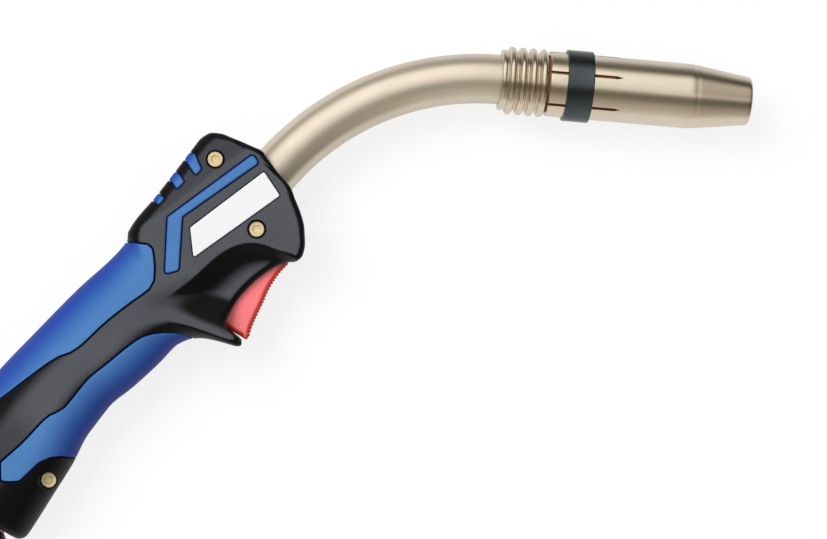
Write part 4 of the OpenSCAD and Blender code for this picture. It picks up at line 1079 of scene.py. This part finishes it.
# The hollow's walls stand where a triangle of the void borders one of the solid
count = len(points)
ways = [np.stack([f, np.roll(f, -1, 1)], -1).reshape(-1, 2) for f in (cheek_faces, wall_faces)]
borders = np.isin(ways[0][:, 0] * count + ways[0][:, 1], ways[1][:, 1] * count + ways[1][:, 0])
a, b = ways[0][borders].T
trigger.sheet(in_handle(*points.T, np.array([[-cheek_z], [cheek_z]])),
              np.stack([a, a + count, b + count, b], -1))
post = np.array([[38, -3], [42, -3], [42, 3], [38, 3], [38, -3.0]])
post_low, post_top = 17.84, 27.2
trigger.grid(in_handle(post[:, 0], np.array([[post_low], [post_top]]), post[:, 1]), flip=True)
trigger.sheet(in_handle(post[:4, 0], post_low, post[:4, 1]), [[0, 1, 2, 3]])
build("trigger_lever", trigger, "trigger_red", "trigger", ["trigger"])

# %% [markdown]
# Turned pieces are a profile swung round an axis. A profile is drawn as corners with small radii,
# outside from the rear to the front and back again inside, so that its faces look outwards.

# %% Turned pieces
def profile(corners, r=0.25, step=0.6, closed=True):
    """Profile with rounded corners, as points no further apart than a step."""
    p = np.asarray(corners, float)
    p = fillet(p, r, 5)
    if closed:
        p = np.concatenate([p, p[:1]])
    d = np.concatenate([[0], np.cumsum(np.linalg.norm(np.diff(p, axis=0), axis=1))])
    at = np.unique(np.concatenate([d, np.arange(0, d[-1], step)]))
    return np.stack([np.interp(at, d, p[:, 0]), np.interp(at, d, p[:, 1])], -1)


def lathe(line, origin, axis, side, turns=128, radius=None, surface=None):
    """Surface of a profile (x, r) swung round an axis: origin + x axis + r (cos a side + sin a
    third). radius(a, x, r) may change the radius, for flats or grips."""
    axis, side = np.asarray(axis, float), np.asarray(side, float)
    third = np.cross(axis, side)
    a = np.linspace(0, 2 * np.pi, turns + 1)
    x, r = line[:, 0][:, None], line[:, 1][:, None] + 0 * a
    if radius is not None:
        r = radius(a, x, r)
    pts = (np.asarray(origin) + x[..., None] * axis
           + r[..., None] * (np.cos(a)[:, None] * side + np.sin(a)[:, None] * third))
    pts[:, -1] = pts[:, 0]
    d = np.concatenate([[0], np.cumsum(np.linalg.norm(np.diff(line, axis=0), axis=1))])
    maps = np.stack(np.broadcast_arrays(a / (2 * np.pi), d[:, None] / 100), -1)
    return (surface or Surface()).grid(pts, maps=maps)


X, Y = np.array([1.0, 0, 0]), np.array([0, 1.0, 0])
print("turned pieces run along", ALONG.round(3), "or X")

# %% [markdown]
# The gas nozzle's rear end is cut into six springy fingers. Its columns are not spread evenly
# round it: they part to both sides of each slot, and close again where the slot ends in a point.
# The outside, the inside and the cut faces of the slots all use the same columns.

# %% Columns of the nozzle
nozzle_l, taper_l, slot_l, slot_w, slot_turn = 82, 24, 30, 1.3, np.radians(13)
nozzle_r, slotted_r, fingers = 13, 11.4, 6
sixth = 2 * np.pi / fingers
tip_from, tip_to = -nozzle_l + slot_l - 3.5, -nozzle_l + slot_l - 1


def columns(x, r, n=16):
    """Angles of the nozzle's columns at x: in each sixth from one slot's edge to the next, the
    edge half the slot's width away, less over the pointed stretch, and none past it."""
    half_gap = slot_w / 2 / r * np.clip((tip_to - x) / (tip_to - tip_from), 0, 1)
    k, share = np.arange(fingers), np.linspace(0, 1, n + 1)
    middle = slot_turn + k * sixth
    return (middle[None, :, None] + half_gap[:, None, None]
            + share[None, None, :] * (sixth - 2 * half_gap)[:, None, None])


def at_angle(x, r, a):
    """Places at x along the nozzle, a radius r out, at the angle a."""
    return mouth + np.stack(np.broadcast_arrays(x, r * np.cos(a), r * np.sin(a)), -1)


def ordered(points, sign):
    """Profile points in the order of their first number, rising or falling."""
    points = np.array(points)
    return points[np.argsort(sign * points[:, 0], kind="stable")]


print("slots", fingers, "of", slot_l, "mm")

# %% Gas nozzle
outside = ordered([[-nozzle_l, 12.7], [-nozzle_l + 0.3, nozzle_r], [tip_from, nozzle_r], [tip_to, nozzle_r]]
                  + [[x, nozzle_r] for x in np.arange(-81, -taper_l - 1.5, 1.0)]
                  + [[-taper_l - 1.2, 12.995], [-taper_l - 0.6, 12.97], [-taper_l, 12.91],
                     [-taper_l + 0.6, 12.82], [-taper_l + 1.2, 12.7]]
                  + [[x, nozzle_r - 3.3 * (x + taper_l) / (taper_l - 0.8)]
                     for x in np.arange(-taper_l + 2, -1.2, 1.0)]
                  + [[-0.9, 9.71], [-0.5, 9.58], [-0.15, 9.28], [0, 8.9]], 1)
bore = ordered([[0, 8.7], [-0.05, 8.4], [-0.25, 8.22], [-0.6, 8.2], [-4, 8.2]]
               + [[x, 8.2 + 2.8 * (-4 - x) / 18] for x in np.arange(-5, -22, -1.0)]
               + [[x, 11.0] for x in (-22, *np.arange(-24, -53.9, -2.0))]
               + [[x, slotted_r] for x in (-54, *np.arange(-56, -81.5, -1.0), tip_from, tip_to)]
               + [[-nozzle_l, 11.5]], -1)
x, r = (c[:, None, None] for c in np.concatenate([outside, bore]).T)
a = columns(x[:, 0, 0], np.maximum(r[:, 0, 0], 1))
places, maps = at_angle(x, r, a), np.stack(np.broadcast_arrays(a / (2 * np.pi), x / 100), -1)
nozzle = Surface()
for k in range(fingers):
    nozzle.grid(places[:, k], maps=maps[:, k])
build("nozzle_body", nozzle, "nickel", "nozzle", ["gas_nozzle"])

# %% [markdown]
# A saw cuts the slots through the plating, so their faces show the brown copper under it. They are
# strips between the outside's and the bore's columns, and the fingers' ends are closed the same way.

# %% Slots of the nozzle
sawn, finger_ends = Surface(), Surface()
slot_x = np.linspace(-nozzle_l + 0.3, tip_to, 40)
walls = [(r, columns(slot_x, np.full(len(slot_x), r))) for r in (float(nozzle_r), slotted_r)]
rear_a = columns(np.full(1, -nozzle_l), np.full(1, 12.7))[0]
for k in range(fingers):
    for column, flip in ((0, False), (-1, True)):
        sawn.grid(np.array([at_angle(slot_x, r, a[:, k, column]) for r, a in walls]), flip=flip)
    finger_ends.grid(np.array([at_angle(-nozzle_l, r, rear_a[k]) for r in (11.5, 12.7)]))
build("slot_faces", sawn, "slot_brown", "nozzle")
build("finger_ends", finger_ends, "nickel", "nozzle")

# %% [markdown]
# A sprung band of blackened steel squeezes the fingers. The collar behind it is turned with four
# round ribs, each half a circle in the profile, and a flange on the neck's side.

# %% Clamp band and collar
band_line = profile([[-75.2, 13.02], [-75.2, 14.3], [-64.6, 14.3], [-64.6, 13.02]], 0.45, 0.5)
build("spring_band", lathe(band_line, mouth, X, Y), "band_black", "nozzle", ["clamp_band"])
collar_end, rib_step, rib_r, rib_at = -82.4, 4.2, 1.55, 12.05
half_turn = np.radians(np.linspace(-90, 90, 15))
collar = [[neck_x, 10.0], [neck_x, 11.9], [neck_x + 0.3, 12.1], [neck_x + 1.7, 12.1], [neck_x + 2, 11.8]]
for i in range(3, -1, -1):
    centre = collar_end - rib_step * (i + 0.5)
    collar += np.stack([centre + rib_r * np.sin(half_turn), rib_at + rib_r * np.cos(half_turn)], -1).tolist()
    collar += [[centre + 1.7, 11.7], [centre + 2.1, 11.55]] if i else [[centre + 1.8, 11.6], [-82.6, 11.5]]
collar += [[collar_end, 11.3], [collar_end, 8.5]]
build("collar_ribs", lathe(np.array(collar), mouth, X, Y), "nickel", "handle", ["ribbed_collar"])

# %% [markdown]
# The neck is a circle carried along a straight stretch and a bend. Its map runs round the tube
# and along it, so that the drawn grain follows the bend.

# %% Swan neck
tube_r = 9.9
bends = np.linspace(0, bend, 90)
flat_bends = 0 * bends
centres = mouth + np.concatenate([[[neck_x + 4.5, 0, 0]], np.stack(
    [neck_x - neck_r * np.sin(bends), -neck_r * (1 - np.cos(bends)), flat_bends], -1)])
sides = np.concatenate([[Y], np.stack([-np.sin(bends), np.cos(bends), flat_bends], -1)])
a = np.linspace(0, 2 * np.pi, 97)
rings = centres[:, None] + tube_r * (np.cos(a)[:, None] * sides[:, None] + np.sin(a)[:, None] * UP)
rings[:, -1] = rings[:, 0]
long = np.concatenate([[0], np.cumsum(np.linalg.norm(np.diff(centres, axis=0), axis=1))])
neck_map = np.stack(np.broadcast_arrays(long[:, None] / 60, a / (2 * np.pi)), -1)
neck = Surface().grid(rings, flip=True, maps=neck_map)
build("neck_tube", neck, "drawn_nickel", "handle", ["neck_outer_tube"])

# %% [markdown]
# Sleeve nuts of brass hold the shells together. Each has a flat head with a chamfered hole, sunk
# in a recess on the near side; on the far side their screws show a hexagon socket.

# %% Screws
nuts, heads = Surface(), Surface()


def polygon(a, sides, corner_r):
    """Radius of a regular polygon at the angle a: its corner's, times the ratio of cosines."""
    half = np.pi / sides
    return corner_r * np.cos(half) / np.cos((a + half) % (2 * half) - half)


def socket(a, x, r):
    """Radius of a screw's hexagon socket, 3 mm over its corners."""
    cut = (r < 1.6) & (r >= 0.1)
    return np.where(cut, polygon(a, 6, 1.5) + (r - 1.5), r)


for (u, v), top in zip(screws, tops):
    shank = [[0, 2.5], [top - plate, 2.5], [top - plate, head_r], [top, head_r]]
    nut = profile(shank + [[top, 1.75], [top - 0.5, 1.1], [top - 0.5, 0.02]], 0.22, 0.3, closed=False)
    lathe(nut, in_handle(u, v, 0), UP, ALONG, 48, surface=nuts)
    head = profile(shank + [[top, 1.55], [top - 0.1, 1.5], [top - 1.1, 1.5], [top - 1.1, 0.02]],
                   0.12, 0.5, closed=False)
    lathe(head, in_handle(u, v, 0), -UP, ALONG, 48, radius=socket, surface=heads)
build("brass_nuts", nuts, "fastener_brass", "handle", ["sleeve_nuts"])
build("brass_screws", heads, "fastener_brass", "handle", ["sleeve_screws"])

# %% [markdown]
# The cable's end of the handle has a red ring and a black swivel with a ball, so that the cable
# can turn and lean. A short housing and a twelve-sided gland nut with a rubber seal follow.

# %% Swivel ring and ball
axis_at = in_handle(0, -14, 0)
ball_r, throat_r, ring_r = 13, 6.4, 17.2
ring_line = profile([[END - 8.5, 10.05], [END - 8.5, ring_r], [END - 4.5, ring_r], [END - 4.5, 15],
                     [END, 15], [END, ring_r], [END + 1.7, ring_r], [END + 1.7, 10.05]], 0.35)
build("red_ring", lathe(ring_line, axis_at, ALONG, ACROSS), "swivel_red", "handle", ["swivel_ring"])
ball_at, shoulder, sleeve_end = END + 17, END + 2.0, END - 11.7
a = np.linspace(np.arcsin(8.6 / ball_r), np.pi - np.arcsin(throat_r / ball_r), 40)
flare = profile([[sleeve_end, 10.0], [shoulder, 10.0], [shoulder, 16.6], [shoulder + 2.2, 20],
                 [shoulder + 3, 20], [shoulder + 3.6, 17], [shoulder + 3.6, 10],
                 [shoulder + 5, 8.6]], 0.4, 0.5, closed=False)
ball = np.stack([ball_at - ball_r * np.cos(a), ball_r * np.sin(a)], -1)
ball_line = np.concatenate([flare[:-1], ball, [[ball_at + 11, throat_r], [sleeve_end, throat_r],
                                               [sleeve_end, 10.0]]])
build("ball_joint", lathe(ball_line, axis_at, ALONG, ACROSS), "swivel_black", "swivel", ["swivel_ball"])

# %% Housing and gland nut
dome_r, socket_r, gland_at = 18, 13.1, ball_at + 22
h = np.linspace(np.arcsin(-5.5 / dome_r), np.arcsin(14 / dome_r), 30)
dome = np.stack([ball_at + dome_r * np.sin(h), dome_r * np.cos(h)], -1)
thread = profile([[ball_at + 14, 11.2], [ball_at + 14.1, 14.2], [ball_at + 21.9, 14.2],
                  [gland_at, 12.4], [ball_at + 30, 12.4], [ball_at + 30, 8.8],
                  [ball_at + 9.5, 8.8]], 0.3, 0.6, closed=False)
h = np.linspace(0.75, 1.97, 24)
cup = np.stack([ball_at + socket_r * np.cos(h), socket_r * np.sin(h)], -1)
housing_line = np.concatenate([[[ball_at - 5.5, 17.0]], dome[1:], thread[2:], cup,
                               [[ball_at - 5.3, 12.2], [ball_at - 5.5, 12.7], [ball_at - 5.5, 17.0]]])
build("ball_housing", lathe(housing_line, axis_at, ALONG, ACROSS), "swivel_black", "housing",
      ["swivel_housing"])


def grips(a, x, r):
    """Radius cut by twelve flats, 30 mm over their corners, outside the thread."""
    return np.where(r > 12.6, np.minimum(r, polygon(a, 12, 15)), r)


gland_line = profile([[gland_at, 12.5], [gland_at, 14.2], [gland_at + 0.8, 14.97], [gland_at + 11, 14.97],
                      [gland_at + 15, 13.2], [gland_at + 15, 8.5], [gland_at + 8, 8.5],
                      [gland_at + 8, 12.5]], 0.2, 0.4)
build("gland_cap", lathe(gland_line, axis_at, ALONG, ACROSS, 144, radius=grips), "swivel_black",
      "housing", ["gland_nut"])

# %% [markdown]
# Down in the mouth the contact tip and its holder show, and the gas diffuser's ring of holes
# behind them. The tip is copper, with the wire's small bore in its end.

# %% Contact tip
def flatted(x0, x1, half):
    """Radius cut by two spanner flats, |y| up to half, between x0 and x1 on a piece's outside."""
    def radius(a, x, r):
        on = (x > x0 + 5 * HAIR) & (x < x1 - 5 * HAIR) & (r > half)
        return np.where(on, np.minimum(r, half / np.maximum(np.abs(np.cos(a)), 1e-3)), r)
    return radius


def with_flats(before, r, x0, x1, after, half, soft):
    """Turned piece in the mouth: its profile before the flats, the radius r from x0 to x1 with a
    point just inside each end of the flats, and the profile after them."""
    inside_ends = [[x, r] for x in (x0, x0 + 10 * HAIR, x1 - 10 * HAIR, x1)]
    line = profile(before + inside_ends + after, soft, 0.8)
    return lathe(line, mouth, X, Y, 64, radius=flatted(x0, x1, half))


tip = with_flats([[-40, 3], [-33, 3], [-33, 4]], 4, -16, -10,
                 [[-9, 4], [-6, 2.6], [-6, 0.6], [-40, 0.6]], 3.4, 0.12)
build("copper_tip", tip, "copper", "handle", ["contact_tip"])
holder = with_flats([[-68, 5], [-56, 5], [-56, 6]], 6, -41, -35,
                    [[-33, 6], [-33, 3.02], [-41, 3.02], [-41, 2.4], [-68, 2.4]], 5, 0.3)
build("brass_holder", holder, "fastener_brass", "handle", ["tip_holder"])

# %% [markdown]
# The new surfaces stay inside the imported model's box. The view transform is Standard.

bpy.context.scene.view_settings.view_transform = "Standard"
